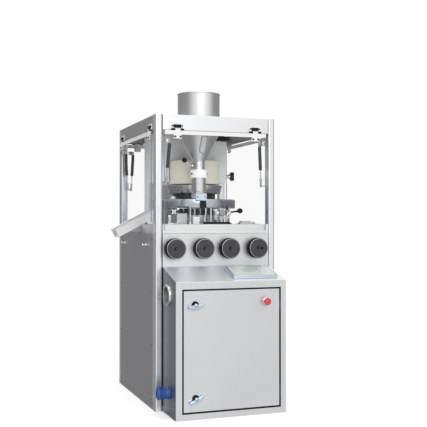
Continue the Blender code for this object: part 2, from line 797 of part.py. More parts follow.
# ------------------------------------------------------------------ gas struts
STRUTS = (
    ("front_left", "front", -0.272, -0.290),
    ("front_right", "front", 0.272, 0.290),
    ("left", "left", -0.337, -0.355),
    ("rear", "rear", 0.272, 0.290),
)
for name, side, top_x, low_x in STRUTS:
    turn, face = SIDES[side][:2]
    axis_y = -face - HINGE_OUT
    high = turn @ Vector((top_x, axis_y + STRUT_TOP_IN, STRUT_TOP_Z))
    foot = turn @ Vector((low_x, axis_y + STRUT_LOW_IN, STRUT_LOW_Z))
    way = high - foot
    length = way.length
    way.normalize()
    across = turn.to_3x3() @ Vector((1, 0, 0))
    lean = Vector((0, 0, 1)).rotation_difference(way).to_matrix().to_4x4()

    rod_eye = rod(f"{name}_strut_rod", foot - across * 0.005, foot + across * 0.005,
                  0.0080, sides=16)
    stem = rod(f"{name}_stem", foot + way * 0.003, foot + way * 0.185, 0.0040, sides=12)
    socket = rod(f"{name}_socket", foot + way * 0.006, foot + way * 0.030, 0.0070, sides=12)
    done(combine(rod_eye, add=[stem, socket]), "chrome", origin=foot)

    tube = turned(
        f"{name}_strut_tube",
        [(0.0, 0.2390), (0.0060, 0.2390), (0.0095, 0.2330), (0.0095, 0.0916),
         (0.0085, 0.0906), (0.0048, 0.0906), (0.0048, 0.2230), (0.0, 0.2230)],
        foot, lean, sides=12,
    )
    tube_eye = rod(f"{name}_tube_eye", high - across * 0.005, high + across * 0.005,
                   0.0075, sides=16)
    done(combine(tube, add=[tube_eye]), "black_plastic")

# joint axes of the other moving pieces, kept as empties for reference
empty("turret_axis", (*TURRET, 1.10))
empty("worm_axis", (0.0, WORM_Y, WORM_Z))
empty("motor_axis", (0.0, MOTOR_Y, MOTOR_Z))
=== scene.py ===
"""Looks of the rotary tablet press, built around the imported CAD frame."""
import json
import math

import bmesh
import bpy
from mathutils import Matrix, Vector


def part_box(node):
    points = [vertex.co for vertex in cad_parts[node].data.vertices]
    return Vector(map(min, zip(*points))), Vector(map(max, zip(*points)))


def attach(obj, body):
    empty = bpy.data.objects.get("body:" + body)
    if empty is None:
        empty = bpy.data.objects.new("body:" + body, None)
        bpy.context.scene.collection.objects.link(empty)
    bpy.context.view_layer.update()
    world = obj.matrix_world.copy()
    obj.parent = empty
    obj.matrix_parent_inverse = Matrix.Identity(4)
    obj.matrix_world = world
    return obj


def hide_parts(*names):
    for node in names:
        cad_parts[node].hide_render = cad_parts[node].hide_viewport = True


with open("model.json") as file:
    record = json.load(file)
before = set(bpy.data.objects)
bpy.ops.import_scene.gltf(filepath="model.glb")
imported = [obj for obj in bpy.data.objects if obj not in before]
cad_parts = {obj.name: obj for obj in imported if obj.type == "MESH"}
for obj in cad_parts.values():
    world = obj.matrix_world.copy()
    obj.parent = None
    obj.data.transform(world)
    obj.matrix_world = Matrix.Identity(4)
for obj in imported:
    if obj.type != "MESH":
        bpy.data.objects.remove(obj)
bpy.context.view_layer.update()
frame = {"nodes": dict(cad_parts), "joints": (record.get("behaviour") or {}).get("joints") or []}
NODES = frame["nodes"]
D2R = math.pi / 180

# ------------------------------------------------------------------ camera first
cam_data = bpy.data.cameras.new("camera")
cam_data.lens = 67.41
cam_data.sensor_width = 36.0
cam_data.clip_end = 60.0
cam = bpy.data.objects.new("camera", cam_data)
cam.location = (-1.5634, -4.7079, 1.0434)
cam.rotation_euler = (90.679 * D2R, 0.0, -19.8805 * D2R)
bpy.context.scene.collection.objects.link(cam)
bpy.context.scene.camera = cam

# ------------------------------------------------------------------ materials
MATS = {}


def _nodes(name):
    m = bpy.data.materials.new(name)
    m.use_nodes = True
    nt = m.node_tree
    return m, nt, nt.nodes["Principled BSDF"]


def _coords(nt, scale):
    tc = nt.nodes.new("ShaderNodeTexCoord")
    mp = nt.nodes.new("ShaderNodeMapping")
    mp.inputs["Scale"].default_value = scale
    nt.links.new(tc.outputs["Object"], mp.inputs["Vector"])
    return mp.outputs["Vector"]


def _noise(nt, scale, detail=3.0, rough=0.55, vec_scale=(1, 1, 1)):
    n = nt.nodes.new("ShaderNodeTexNoise")
    n.inputs["Scale"].default_value = scale
    n.inputs["Detail"].default_value = detail
    n.inputs["Roughness"].default_value = rough
    nt.links.new(_coords(nt, vec_scale), n.inputs["Vector"])
    return n.outputs["Fac"]


def _range(nt, src, a, b, lo=0.3, hi=0.7):
    r = nt.nodes.new("ShaderNodeMapRange")
    r.inputs["From Min"].default_value = lo
    r.inputs["From Max"].default_value = hi
    r.inputs["To Min"].default_value = a
    r.inputs["To Max"].default_value = b
    nt.links.new(src, r.inputs["Value"])
    return r.outputs["Result"]


def _mix(nt, fac, a, b):
    m = nt.nodes.new("ShaderNodeMix")
    m.data_type = "RGBA"
    for k, v in ((0, fac), (6, a), (7, b)):
        if isinstance(v, (tuple, list)):
            m.inputs[k].default_value = (*v, 1.0)
        elif isinstance(v, float):
            m.inputs[k].default_value = v
        else:
            nt.links.new(v, m.inputs[k])
    return m.outputs[2]


def _bump(nt, src, strength, dist, prev=None):
    b = nt.nodes.new("ShaderNodeBump")
    b.inputs["Strength"].default_value = strength
    b.inputs["Distance"].default_value = dist
    nt.links.new(src, b.inputs["Height"])
    if prev is not None:
        nt.links.new(prev, b.inputs["Normal"])
    return b.outputs["Normal"]


def _edge(nt, lo=0.505, hi=0.56):
    g = nt.nodes.new("ShaderNodeNewGeometry")
    return _range(nt, g.outputs["Pointiness"], 0.0, 1.0, lo, hi)


def dark(c, k):
    return tuple(v * k for v in c)


def metal(name, color, rough, grain=(1, 1, 1), spread=0.10, tint=0.90, aniso=0.0, cloud=2.5,
          grain_scale=60.0, bump=0.06):
    """Brushed or turned metal: fine grain along one direction, soft clouds."""
    m, nt, p = _nodes(name)
    g = _noise(nt, grain_scale, 4.0, 0.6, grain)
    c = _noise(nt, cloud, 3.0, 0.5)
    col = _mix(nt, _range(nt, g, 0.0, 1.0), color, dark(color, tint))
    col = _mix(nt, _range(nt, c, 0.0, 0.35), col, dark(color, 0.86))
    nt.links.new(col, p.inputs["Base Color"])
    r1 = _range(nt, g, max(0.03, rough - spread / 2), rough + spread / 2)
    add = nt.nodes.new("ShaderNodeMath")
    add.operation = "ADD"
    nt.links.new(r1, add.inputs[0])
    nt.links.new(_range(nt, c, -0.04, 0.06), add.inputs[1])
    nt.links.new(add.outputs[0], p.inputs["Roughness"])
    p.inputs["Metallic"].default_value = 1.0
    if aniso:
        p.inputs["Anisotropic"].default_value = aniso
    nt.links.new(_bump(nt, g, bump, 0.0002), p.inputs["Normal"])
    MATS[name] = m
    return m


def paint(name, color, rough=0.35, coat=0.15, peel=260.0, peel_s=0.05, grime=0.08, metallic=0.0,
          edge=0.25):
    """Sprayed enamel: orange peel, faint grime clouds, slightly rubbed edges."""
    m, nt, p = _nodes(name)
    c = _noise(nt, 3.0, 4.0, 0.6)
    s = _noise(nt, 34.0, 3.0, 0.6)
    col = _mix(nt, _range(nt, c, 0.0, grime * 2.0), color, dark(color, 0.80))
    col = _mix(nt, _range(nt, s, 0.0, grime), col, dark(color, 0.88))
    e = _edge(nt)
    mul = nt.nodes.new("ShaderNodeMath")
    mul.operation = "MULTIPLY"
    nt.links.new(e, mul.inputs[0])
    mul.inputs[1].default_value = edge
    light = tuple(min(1.0, v * 1.12 + 0.02) for v in color)
    col = _mix(nt, mul.outputs[0], col, light)
    nt.links.new(col, p.inputs["Base Color"])
    nt.links.new(_range(nt, s, rough - 0.04, rough + 0.07), p.inputs["Roughness"])
    p.inputs["Metallic"].default_value = metallic
    p.inputs["Coat Weight"].default_value = coat
    p.inputs["Coat Roughness"].default_value = 0.15
    nt.links.new(_bump(nt, _noise(nt, peel, 2.0), peel_s, 0.0003), p.inputs["Normal"])
    MATS[name] = m
    return m


def plastic(name, color, rough=0.45, tex=900.0, tex_s=0.12, spec=0.5, coat=0.0):
    m, nt, p = _nodes(name)
    c = _noise(nt, 18.0, 3.0)
    t = _noise(nt, tex, 2.0)
    light = tuple(min(1.0, v * 1.25 + 0.004) for v in color)
    col = _mix(nt, _range(nt, c, 0.0, 0.5), color, light)
    col = _mix(nt, _range(nt, _edge(nt), 0.0, 0.30, 0.0, 1.0), col, light)
    nt.links.new(col, p.inputs["Base Color"])
    nt.links.new(_range(nt, c, rough - 0.06, rough + 0.08), p.inputs["Roughness"])
    p.inputs["Specular IOR Level"].default_value = spec
    p.inputs["Coat Weight"].default_value = coat
    nt.links.new(_bump(nt, t, tex_s, 0.0003), p.inputs["Normal"])
    MATS[name] = m
    return m


def clear(name, color, alpha, rough=0.03, spec=0.10):
    m, nt, p = _nodes(name)
    c = _noise(nt, 6.0, 2.0)
    nt.links.new(_mix(nt, _range(nt, c, 0.0, 1.0), color, dark(color, 0.97)),
                 p.inputs["Base Color"])
    nt.links.new(_range(nt, c, rough, rough + 0.03), p.inputs["Roughness"])
    p.inputs["Alpha"].default_value = alpha
    p.inputs["IOR"].default_value = 1.49
    p.inputs["Specular IOR Level"].default_value = spec
    m.surface_render_method = "BLENDED"
    MATS[name] = m
    return m


UP = (40.0, 40.0, 1.2)        # grain that runs up and down
ACROSS_X = (1.2, 40.0, 40.0)  # grain along X
ACROSS_Y = (40.0, 1.2, 40.0)  # grain along Y
ROUND_Z = (1.5, 1.5, 60.0)    # rings round a vertical axis

paint("post_white", (0.76, 0.77, 0.79), 0.30, 0.05, metallic=0.88, edge=0.05)
paint("rail_white", (0.70, 0.70, 0.68), 0.36, 0.12)
metal("steel_front", (0.73, 0.74, 0.765), 0.40, ACROSS_X, spread=0.10, tint=0.93, grain_scale=9.0)
metal("steel_side", (0.65, 0.65, 0.68), 0.42, ACROSS_Y, spread=0.08, tint=0.94, grain_scale=9.0)
metal("header_satin", (0.79, 0.80, 0.825), 0.42, ACROSS_X, spread=0.08, tint=0.95, grain_scale=9.0)
metal("deck_satin", (0.80, 0.805, 0.81), 0.50, ACROSS_X, spread=0.08, tint=0.96, grain_scale=9.0)
metal("steel_cab", (0.715, 0.725, 0.75), 0.42, UP, spread=0.10, tint=0.92, grain_scale=9.0)
metal("steel_cabinet_shaded_sides", (0.715, 0.725, 0.75), 0.42, UP, spread=0.10, tint=0.92, grain_scale=9.0)
metal("steel_slope", (0.96, 0.98, 1.0), 0.50, ACROSS_X, spread=0.08, tint=0.95, grain_scale=9.0)
metal("steel_turned", (0.58, 0.59, 0.61), 0.22, ROUND_Z, spread=0.06, tint=0.88, grain_scale=12.0,
      bump=0.02)
metal("steel_hopper", (0.82, 0.825, 0.83), 0.31, (9.0, 9.0, 1.2), spread=0.03, tint=0.96,
      grain_scale=16.0, bump=0.003)
metal("steel_ring", (0.52, 0.54, 0.59), 0.20, ROUND_Z, spread=0.06, tint=0.86, grain_scale=12.0,
      bump=0.02)
metal("chrome", (0.78, 0.79, 0.81), 0.08, (1, 1, 1), spread=0.05, tint=0.95, grain_scale=40.0,
      bump=0.01)
metal("chrome_blue", (0.60, 0.68, 0.80), 0.12, (1, 1, 1), spread=0.06, tint=0.90,
      grain_scale=40.0, bump=0.02)
metal("zinc", (0.60, 0.61, 0.62), 0.38, (1, 1, 1), spread=0.16, tint=0.80, grain_scale=60.0)
metal("bronze", (0.60, 0.38, 0.17), 0.32, ROUND_Z, spread=0.10, tint=0.80, grain_scale=8.0)
metal("steel_dark", (0.13, 0.13, 0.14), 0.35, (1, 1, 1), spread=0.14, tint=0.75)
# near-black steel, used only as painted shade on the turret's punch zone
metal("shade_black", (0.075, 0.072, 0.078), 0.20, ROUND_Z, spread=0.08, tint=0.75, grain_scale=8.0)
metal("wheel_face", (0.115, 0.115, 0.122), 0.40, (1, 1, 1), spread=0.16, tint=0.60, grain_scale=240.0,
      bump=0.25)
# lighter metal for the handwheels' painted highlight ring
metal("wheel_highlight_ring", (0.40, 0.40, 0.42), 0.30, (1, 1, 1), spread=0.12, tint=0.80)
paint("cast_grey", (0.74, 0.745, 0.755), 0.42, 0.10, peel=140.0, peel_s=0.12)
paint("cream", (0.80, 0.765, 0.655), 0.34, 0.20)
metal("operator_grey", (0.66, 0.69, 0.76), 0.42, ACROSS_X, spread=0.08, tint=0.95, grain_scale=9.0)
paint("pale_blue", (0.56, 0.66, 0.72), 0.36, 0.15)
paint("motor_paint", (0.12, 0.20, 0.26), 0.42, 0.10)
paint("strut_black", (0.022, 0.022, 0.027), 0.30, 0.08, edge=0.3)
paint("plate_orange", (0.52, 0.36, 0.10), 0.45, 0.0)
plastic("black_plastic", (0.005, 0.005, 0.006), 0.42, spec=0.14)
plastic("black_gloss", (0.003, 0.003, 0.004), 0.14, tex_s=0.02, spec=0.12, coat=0.02)
plastic("wheel_black", (0.005, 0.005, 0.006), 0.60, tex=420.0, tex_s=0.12, spec=0.06)
plastic("rubber", (0.007, 0.007, 0.008), 0.75, tex=600.0, tex_s=0.25, spec=0.15)
plastic("red_plastic", (0.50, 0.035, 0.045), 0.38, tex_s=0.03, coat=0.1)
plastic("wire_red", (0.42, 0.02, 0.02), 0.45, tex_s=0.02)
plastic("yellow_plastic", (0.78, 0.62, 0.10), 0.40)
plastic("pale_plastic", (0.70, 0.70, 0.68), 0.40)
plastic("grey_plastic", (0.32, 0.33, 0.34), 0.48)
plastic("white_plastic", (0.88, 0.885, 0.90), 0.34, tex_s=0.05)
plastic("blue_plastic", (0.006, 0.062, 0.25), 0.28, tex_s=0.04, coat=0.2)
plastic("screen_green", (0.50, 0.54, 0.51), 0.22, tex=1200.0, tex_s=0.02, coat=0.3)
plastic("membrane", (0.62, 0.64, 0.62), 0.34, tex_s=0.03, coat=0.2)
plastic("membrane_key", (0.56, 0.59, 0.58), 0.34, tex_s=0.03)
plastic("screen_dark", (0.030, 0.038, 0.048), 0.30, tex_s=0.01, spec=0.3)
clear("acrylic", (0.30, 0.34, 0.35), 0.020)
clear("acrylic_edge", (0.33, 0.39, 0.45), 0.70, 0.10, 0.3)
clear("sight_glass", (0.62, 0.635, 0.65), 0.75, 0.05, 0.4)


# the cabinet's body: its two side sheets are painted darker than its front frame, as painted shade where
# the face points along X
nt = MATS["steel_cabinet_shaded_sides"].node_tree
p = next(n for n in nt.nodes if n.type == "BSDF_PRINCIPLED")
face = nt.nodes.new("ShaderNodeNewGeometry")
part = nt.nodes.new("ShaderNodeSeparateXYZ")
nt.links.new(face.outputs["Normal"], part.inputs[0])
size = nt.nodes.new("ShaderNodeMath")
size.operation = "ABSOLUTE"
nt.links.new(part.outputs["X"], size.inputs[0])
src = p.inputs["Base Color"].links[0].from_socket
nt.links.new(_mix(nt, _range(nt, size.outputs[0], 0.0, 1.0, 0.80, 0.95), src, (0.36, 0.375, 0.41)),
             p.inputs["Base Color"])


# ------------------------------------------------------------------ mesh helpers
def add(name, bm, mat, body="frame", smooth=38, bevel=0.0, segs=2, replaces=(), slot=None,
        weld=True):
    bmesh.ops.recalc_face_normals(bm, faces=bm.faces)
    me = bpy.data.meshes.new(name)
    bm.to_mesh(me)
    bm.free()
    ob = bpy.data.objects.new(name, me)
    bpy.context.scene.collection.objects.link(ob)
    me.materials.append(MATS[mat])
    me.shade_smooth()
    me.set_sharp_from_angle(angle=smooth * D2R)
    if bevel:
        b = ob.modifiers.new("edges", "BEVEL")
        b.width = bevel
        b.segments = segs
        b.limit_method = "ANGLE"
        b.angle_limit = 38 * D2R
        b.harden_normals = False
        w = ob.modifiers.new("normals", "WEIGHTED_NORMAL")
        w.keep_sharp = False
    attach(ob, body)
    if replaces:
        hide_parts(*((replaces,) if isinstance(replaces, str) else replaces))
    return ob


def cube_bm(lo, hi, r=0.0, along=None, steps=3, bm=None, mtx=None):
    lo, hi = Vector(lo), Vector(hi)
    b = bmesh.new()
    bmesh.ops.create_cube(b, size=1.0)
    bmesh.ops.scale(b, vec=hi - lo, verts=b.verts)
    bmesh.ops.translate(b, vec=(lo + hi) / 2, verts=b.verts)
    if r:
        edges = [e for e in b.edges if along is None
                 or abs((e.verts[0].co - e.verts[1].co).normalized()[along]) > 0.9]
        bmesh.ops.bevel(b, geom=edges, offset=r, segments=steps, profile=0.5, affect="EDGES")
    if mtx is not None:
        b.transform(mtx)
    return merge(bm, b)


def merge(bm, b):
    if bm is None:
        return b
    me = bpy.data.meshes.new("tmp")
    b.to_mesh(me)
    b.free()
    bm.from_mesh(me)
    bpy.data.meshes.remove(me)
    return bm


def rod_bm(a, b, r, r2=None, sides=48, bm=None, caps=True):
    a, b = Vector(a), Vector(b)
    d = b - a
    n = bmesh.new()
    bmesh.ops.create_cone(n, cap_ends=caps, cap_tris=False, segments=sides, radius1=r,
                          radius2=r if r2 is None else r2, depth=d.length)
    turn = Vector((0, 0, 1)).rotation_difference(d.normalized()).to_matrix().to_4x4()
    n.transform(Matrix.Translation((a + b) / 2) @ turn)
    return merge(bm, n)


def ball_bm(c, r, bm=None, u=32, v=20):
    n = bmesh.new()
    bmesh.ops.create_uvsphere(n, u_segments=u, v_segments=v, radius=r)
    bmesh.ops.translate(n, vec=c, verts=n.verts)
    return merge(bm, n)


def lathe_bm(profile, at=(0, 0, 0), turn=None, sides=96, ring=False, bm=None, wobble=None):
    """profile: (radius, height); r=0 ends close on the axis; ring closes on itself."""
    n = bmesh.new()
    rings = []
    for k, (r, z) in enumerate(profile):
        if r < 1e-7:
            rings.append([n.verts.new((0, 0, z))])
        else:
            row = []
            for i in range(sides):
                t = 2 * math.pi * i / sides
                rr = r if wobble is None else wobble(k, t, r)
                row.append(n.verts.new((rr * math.cos(t), rr * math.sin(t), z)))
            rings.append(row)
    pairs = list(zip(rings[:-1], rings[1:]))
    if ring:
        pairs.append((rings[-1], rings[0]))
    for a, b in pairs:
        for i in range(sides):
            j = (i + 1) % sides
            if len(a) == 1 and len(b) == 1:
                break
            if len(a) == 1:
                n.faces.new((a[0], b[i], b[j]))
            elif len(b) == 1:
                n.faces.new((a[i], b[0], a[j]))
            else:
                n.faces.new((a[i], b[i], b[j], a[j]))
    n.transform(Matrix.Translation(at) @ (turn or Matrix()))
    return merge(bm, n)


def plate_bm(outline, lo, hi, plane="XY", holes=(), bm=None, mtx=None):
    """An outline pushed from lo to hi; 'XZ' pushes along Y, 'YZ' along X."""
    n = bmesh.new()

    def at(a, b, c):
        return {"XY": (a, b, c), "XZ": (a, c, b), "YZ": (c, a, b)}[plane]

    loops = [list(outline)] + [list(h) for h in holes]
    edges = []
    for loop in loops:
        vs = [n.verts.new(at(a, b, lo)) for a, b in loop]
        edges += [n.edges.new((vs[i], vs[(i + 1) % len(vs)])) for i in range(len(vs))]
    if holes:
        bmesh.ops.triangle_fill(n, use_beauty=True, use_dissolve=False, edges=edges)
    else:
        n.faces.new([e.verts[0] for e in edges])
    faces = list(n.faces)
    out = bmesh.ops.extrude_face_region(n, geom=faces)
    moved = [v for v in out["geom"] if isinstance(v, bmesh.types.BMVert)]
    step = Vector(at(0, 0, hi - lo))
    bmesh.ops.translate(n, vec=step, verts=moved)
    if mtx is not None:
        n.transform(mtx)
    return merge(bm, n)


def tube_bm(points, r, sides=16, closed=False, bm=None, caps=True):
    """A round bar along points."""
    pts = [Vector(p) for p in points]
    n = bmesh.new()
    rows = []
    count = len(pts)
    prev = None
    for i, p in enumerate(pts):
        if closed:
            d = pts[(i + 1) % count] - pts[i - 1]
        else:
            d = pts[min(i + 1, count - 1)] - pts[max(i - 1, 0)]
        d.normalize()
        if prev is None:
            side = d.orthogonal().normalized()
        else:
            side = (prev - d * prev.dot(d)).normalized()
        prev = side
        up = d.cross(side)
        rows.append([n.verts.new(p + r * (math.cos(2 * math.pi * k / sides) * side
                                          + math.sin(2 * math.pi * k / sides) * up))
                     for k in range(sides)])
    spans = list(zip(rows[:-1], rows[1:]))
    if closed:
        # match the last row to the first by the nearest vertex
        first, last = rows[0], rows[-1]
        shift = min(range(sides), key=lambda s: (first[s].co - last[0].co).length)
        spans.append((last, first[shift:] + first[:shift]))
    for a, b in spans:
        for k in range(sides):
            j = (k + 1) % sides
            n.faces.new((a[k], a[j], b[j], b[k]))
    if caps and not closed:
        n.faces.new(rows[0][::-1])
        n.faces.new(rows[-1])
    return merge(bm, n)


def rrect(cx, cy, w, h, r, k=5):
    """Rounded rectangle outline."""
    pts = []
    for qx, qy, a0 in ((1, 1, 0), (-1, 1, 90), (-1, -1, 180), (1, -1, 270)):
        for i in range(k + 1):
            t = (a0 + 90 * i / k) * D2R
            pts.append((cx + qx * (w / 2 - r) + r * math.cos(t),
                        cy + qy * (h / 2 - r) + r * math.sin(t)))
    return pts


def circle(cx, cy, r, k=48):
    return [(cx + r * math.cos(2 * math.pi * i / k), cy + r * math.sin(2 * math.pi * i / k))
            for i in range(k)]


def spin(axis, deg):
    return Matrix.Rotation(deg * D2R, 4, axis)


def cad(name, mat, slot=None):
    me = NODES[name].data
    me.materials.clear()
    me.materials.append(MATS[mat])


def socket_screw(at, out, r=0.0045, h=0.004, bm=None):
    """A cap screw with a round socket recess, standing on a face."""
    at, out = Vector(at), Vector(out).normalized()
    turn = Vector((0, 0, 1)).rotation_difference(out).to_matrix().to_4x4()
    prof = [(0.0, h * 0.45), (r * 0.42, h * 0.45), (r * 0.52, h), (r * 0.86, h),
            (r, h * 0.82), (r, -0.0004)]
    return lathe_bm(prof, at, turn, sides=24, bm=bm)


# ------------------------------------------------------------------ CAD nodes that stay
edge_x, edge_y = 0.3605, 0.4365
side_x, side_y = 0.3195, 0.3845
for n in ("front_left", "front_right", "rear_left", "rear_right"):
    cad("post_" + n, "post_white")
for n in ("base_plate",):
    cad(n, "steel_side")
cad("gearbox_housing", "cast_grey")
cad("head_casting", "cast_grey")
cad("drive_motor", "motor_paint")
cad("main_shaft", "steel_turned")
cad("control_cabinet", "steel_cabinet_shaded_sides")
for s in ("front", "left", "right", "rear"):
    cad(s + "_window", "acrylic")
    cad(s + "_hinge_rail", "rail_white")

# ------------------------------------------------------------------ side and rear panels
for side, sx in (("left", -1), ("right", 1)):
    a, b = sorted((sx * edge_x, sx * (edge_x - 0.012)))
    add(f"{side}_side_skin", cube_bm((a, -side_y + 0.001, 0.0305), (b, side_y - 0.001, 0.9845)),
        "steel_side", bevel=0.0018, segs=3, replaces=f"{side}_side_panel")
    turn = spin("Y", 90 * sx)
    bm = None
    for y in (-0.237, 0.290):
        bm = lathe_bm([(0, 0.0250), (0.0070, 0.0250), (0.0095, 0.0235), (0.0105, 0.0200),
                       (0.0098, 0.0168), (0.0060, 0.0140), (0.0048, 0.0080), (0.0062, 0.0030),
                       (0.0100, 0.0014), (0.0100, -0.001), (0, -0.001)],
                      (sx * edge_x, y, 0.917), turn, 32, bm=bm)
    add(f"{side}_pull_knobs", bm, "chrome")
    bm = None
    for y in (-0.366, 0.366):
        for z in (0.055, 0.36, 0.66, 0.955):
            bm = socket_screw((sx * edge_x, y, z), (sx, 0, 0), 0.0040, 0.0028, bm)
    add(f"{side}_panel_screws", bm, "steel_dark")
add("rear_skin", cube_bm((-side_x + 0.001, edge_y - 0.012, 0.0305), (side_x - 0.001, edge_y, 0.9845)),
    "steel_side", bevel=0.0018, segs=3, replaces="rear_panel")
bm = None
for x in (-0.300, 0.300):
    for z in (0.055, 0.36, 0.66, 0.955):
        bm = socket_screw((x, edge_y, z), (0, 1, 0), 0.0040, 0.0028, bm)
add("rear_panel_screws", bm, "steel_dark")
bm = None
for row in range(9):
    z = 0.60 + row * 0.022
    bm = plate_bm([(0, 0), (0.0085, -0.011), (0.0080, -0.0125), (-0.001, -0.001)], -0.13, 0.13,
                  "YZ", bm=bm, mtx=Matrix.Translation((0, edge_y - 0.001, z)))
add("rear_louvres", bm, "steel_side")

# ------------------------------------------------------------------ handwheel panel
add("handwheel_fascia",
    plate_bm([(-side_x + 0.001, 0.7980), (side_x - 0.001, 0.7980), (side_x - 0.001, 0.9840),
              (-side_x + 0.001, 0.9840)], -edge_y, -edge_y + 0.012, "XZ",
             holes=[circle(x, 0.900, 0.0130, 32) for x in (-0.255, -0.087, 0.068, 0.238)]),
    "steel_front", replaces="handwheel_panel")

# ------------------------------------------------------------------ deck
deck = [(-side_x, -edge_y), (side_x, -edge_y), (side_x, -side_y), (edge_x, -side_y),
        (edge_x, side_y), (side_x, side_y), (side_x, edge_y), (-side_x, edge_y), (-side_x, side_y),
        (-0.335, side_y), (-0.335, -0.146), (-edge_x, -0.146), (-edge_x, -side_y),
        (-side_x, -side_y)]
add("deck_top", plate_bm(deck, 0.9852, 1.0360, "XY", holes=[circle(0.0, -0.030, 0.045, 48)]),
    "deck_satin", replaces="deck_plate")
bm = None
for x, y in ((-0.290, -0.360), (0.290, -0.360), (-0.290, 0.360), (0.290, 0.360), (0.290, 0.0)):
    bm = lathe_bm([(0, 0.0018), (0.0030, 0.0018), (0.0040, 0.0036), (0.0062, 0.0034),
                   (0.0070, 0.0020), (0.0070, -0.0004), (0, -0.0004)], (x, y, 1.0360), None, 24,
                  bm=bm)
add("deck_screws", bm, "zinc")

# ------------------------------------------------------------------ header and roof
bm = cube_bm((-side_x + 0.001, -edge_y, 1.5632), (side_x - 0.001, -edge_y + 0.0115, 1.6498))
add("header_front", bm, "header_satin", bevel=0.0015, segs=3,
    replaces="roof_header")
bm = cube_bm((-side_x + 0.001, edge_y - 0.0115, 1.5632), (side_x - 0.001, edge_y, 1.6498))
add("header_rear", bm, "steel_side", bevel=0.0015, segs=3)
for side, sx in (("left", -1), ("right", 1)):
    a, b = sorted((sx * edge_x, sx * (edge_x - 0.0115)))
    add(f"header_{side}", cube_bm((a, -side_y + 0.001, 1.5632), (b, side_y - 0.001, 1.6498)),
        "steel_side", bevel=0.0015, segs=3)
hop = (-0.0443, -0.250)
cross = [(-side_x, -edge_y + 0.002), (side_x, -edge_y + 0.002), (side_x, -side_y),
         (edge_x - 0.002, -side_y), (edge_x - 0.002, side_y), (side_x, side_y),
         (side_x, edge_y - 0.002), (-side_x, edge_y - 0.002), (-side_x, side_y),
         (-edge_x + 0.002, side_y), (-edge_x + 0.002, -side_y), (-side_x, -side_y)]
add("roof_sheet", plate_bm(cross, 1.6460, 1.6495, "XY", holes=[circle(*hop, 0.1275, 72)]),
    "steel_front", bevel=0.0)
# inner lower flange of the header, in dark steel as painted shade under the header, and a lamp strip
bm = None
for a, b in (((-side_x + 0.001, -edge_y + 0.0120, 1.5632), (side_x - 0.001, -edge_y + 0.045, 1.5660)),
             ((-side_x + 0.001, edge_y - 0.045, 1.5632), (side_x - 0.001, edge_y - 0.0120, 1.5660)),
             ((-edge_x + 0.0120, -side_y + 0.002, 1.5632), (-edge_x + 0.040, side_y - 0.002, 1.5660)),
             ((edge_x - 0.040, -side_y + 0.002, 1.5632), (edge_x - 0.0120, side_y - 0.002, 1.5660))):
    bm = cube_bm(a, b, bm=bm)
add("header_flange_shade", bm, "steel_dark")
add("hopper_roof_seal",
    lathe_bm([(0.1245, 1.6560), (0.1310, 1.6560), (0.1330, 1.6540), (0.1330, 1.6498),
              (0.1245, 1.6498)], (*hop, 0), ring=True), "rubber", bevel=0.0008)
add("lamp_strip", cube_bm((-0.20, -0.405, 1.5665), (0.20, -0.380, 1.5800), 0.004, steps=3),
    "pale_plastic")

# ------------------------------------------------------------------ hinges
SIDES = {
    "front": (spin("Z", 0), edge_y, 0.235),
    "left": (spin("Z", -90), edge_x, 0.330),
    "right": (spin("Z", 90), edge_x, 0.330),
    "rear": (spin("Z", 180), edge_y, 0.235),
}
HZ = 1.5665
for side, (turn, face, hx) in SIDES.items():
    ay = -face - 0.009
    window = side + "_window"
    for k, x in enumerate((-hx, hx)):
        tag = f"{side}_hinge_{k + 1}"
        # fixed leaf on the header, with its black stop block
        bm = cube_bm((x - 0.0345, -face - 0.0035, 1.5735), (x + 0.0345, -face, 1.6030), 0.0010,
                     steps=2)
        for a, b in ((-0.0348, -0.0158), (0.0158, 0.0348)):
            bm = cube_bm((x + a, -face - 0.0085, 1.5668), (x + b, -face - 0.0004, 1.5752), 0.0015,
                         bm=bm, steps=2)
        bm.transform(turn)
        add(tag + "_fixed_leaf", bm, "rail_white", smooth=35)
        bm = cube_bm((x - 0.0225, -face - 0.0085, 1.5765), (x + 0.0225, -face - 0.0030, 1.5945),
                     0.0020, steps=3)
        for dx in (-0.0285, 0.0285):
            bm = lathe_bm([(0, 0.0042), (0.0030, 0.0042), (0.0042, 0.0034), (0.0042, -0.001),
                           (0, -0.001)], (x + dx, -face - 0.0035, 1.5870), spin("X", 90), 24, bm=bm)
        for a, b in ((-0.0348, -0.0158), (0.0158, 0.0348)):
            bm = rod_bm((x + a, ay, HZ), (x + b, ay, HZ), 0.0062, sides=32, bm=bm)
        for a in (-1, 1):
            bm = rod_bm((x + a * 0.0345, ay, HZ), (x + a * 0.0370, ay, HZ), 0.0046, sides=24, bm=bm)
        bm.transform(turn)
        add(tag + "_stop_block", bm, "black_plastic", smooth=35)
        # moving leaf on the window, with screws
        front = -face - 0.0090
        bm = cube_bm((x - 0.0225, front - 0.0056, 1.5145), (x + 0.0225, front - 0.0002, 1.5596),
                     0.0016, steps=3)
        bm = rod_bm((x - 0.0150, ay, HZ), (x + 0.0150, ay, HZ), 0.0061, sides=32, bm=bm)
        bm = cube_bm((x - 0.0136, front - 0.0050, 1.5550), (x + 0.0136, front - 0.0006, 1.5655),
                     0.0008, steps=2, bm=bm)
        bm.transform(turn)
        add(tag + "_moving_leaf", bm, "rail_white", body=window, smooth=35)
        bm = None
        for dx in (-0.0155, 0.0155):
            bm = lathe_bm([(0, 0.0012), (0.0022, 0.0012), (0.0026, 0.0030), (0.0046, 0.0028),
                           (0.0055, 0.0016), (0.0055, -0.0005), (0, -0.0005)],
                          (x + dx, front - 0.0056, 1.5260), spin("X", 90), 24, bm=bm)
        bm.transform(turn)
        add(tag + "_screws", bm, "black_plastic", body=window)

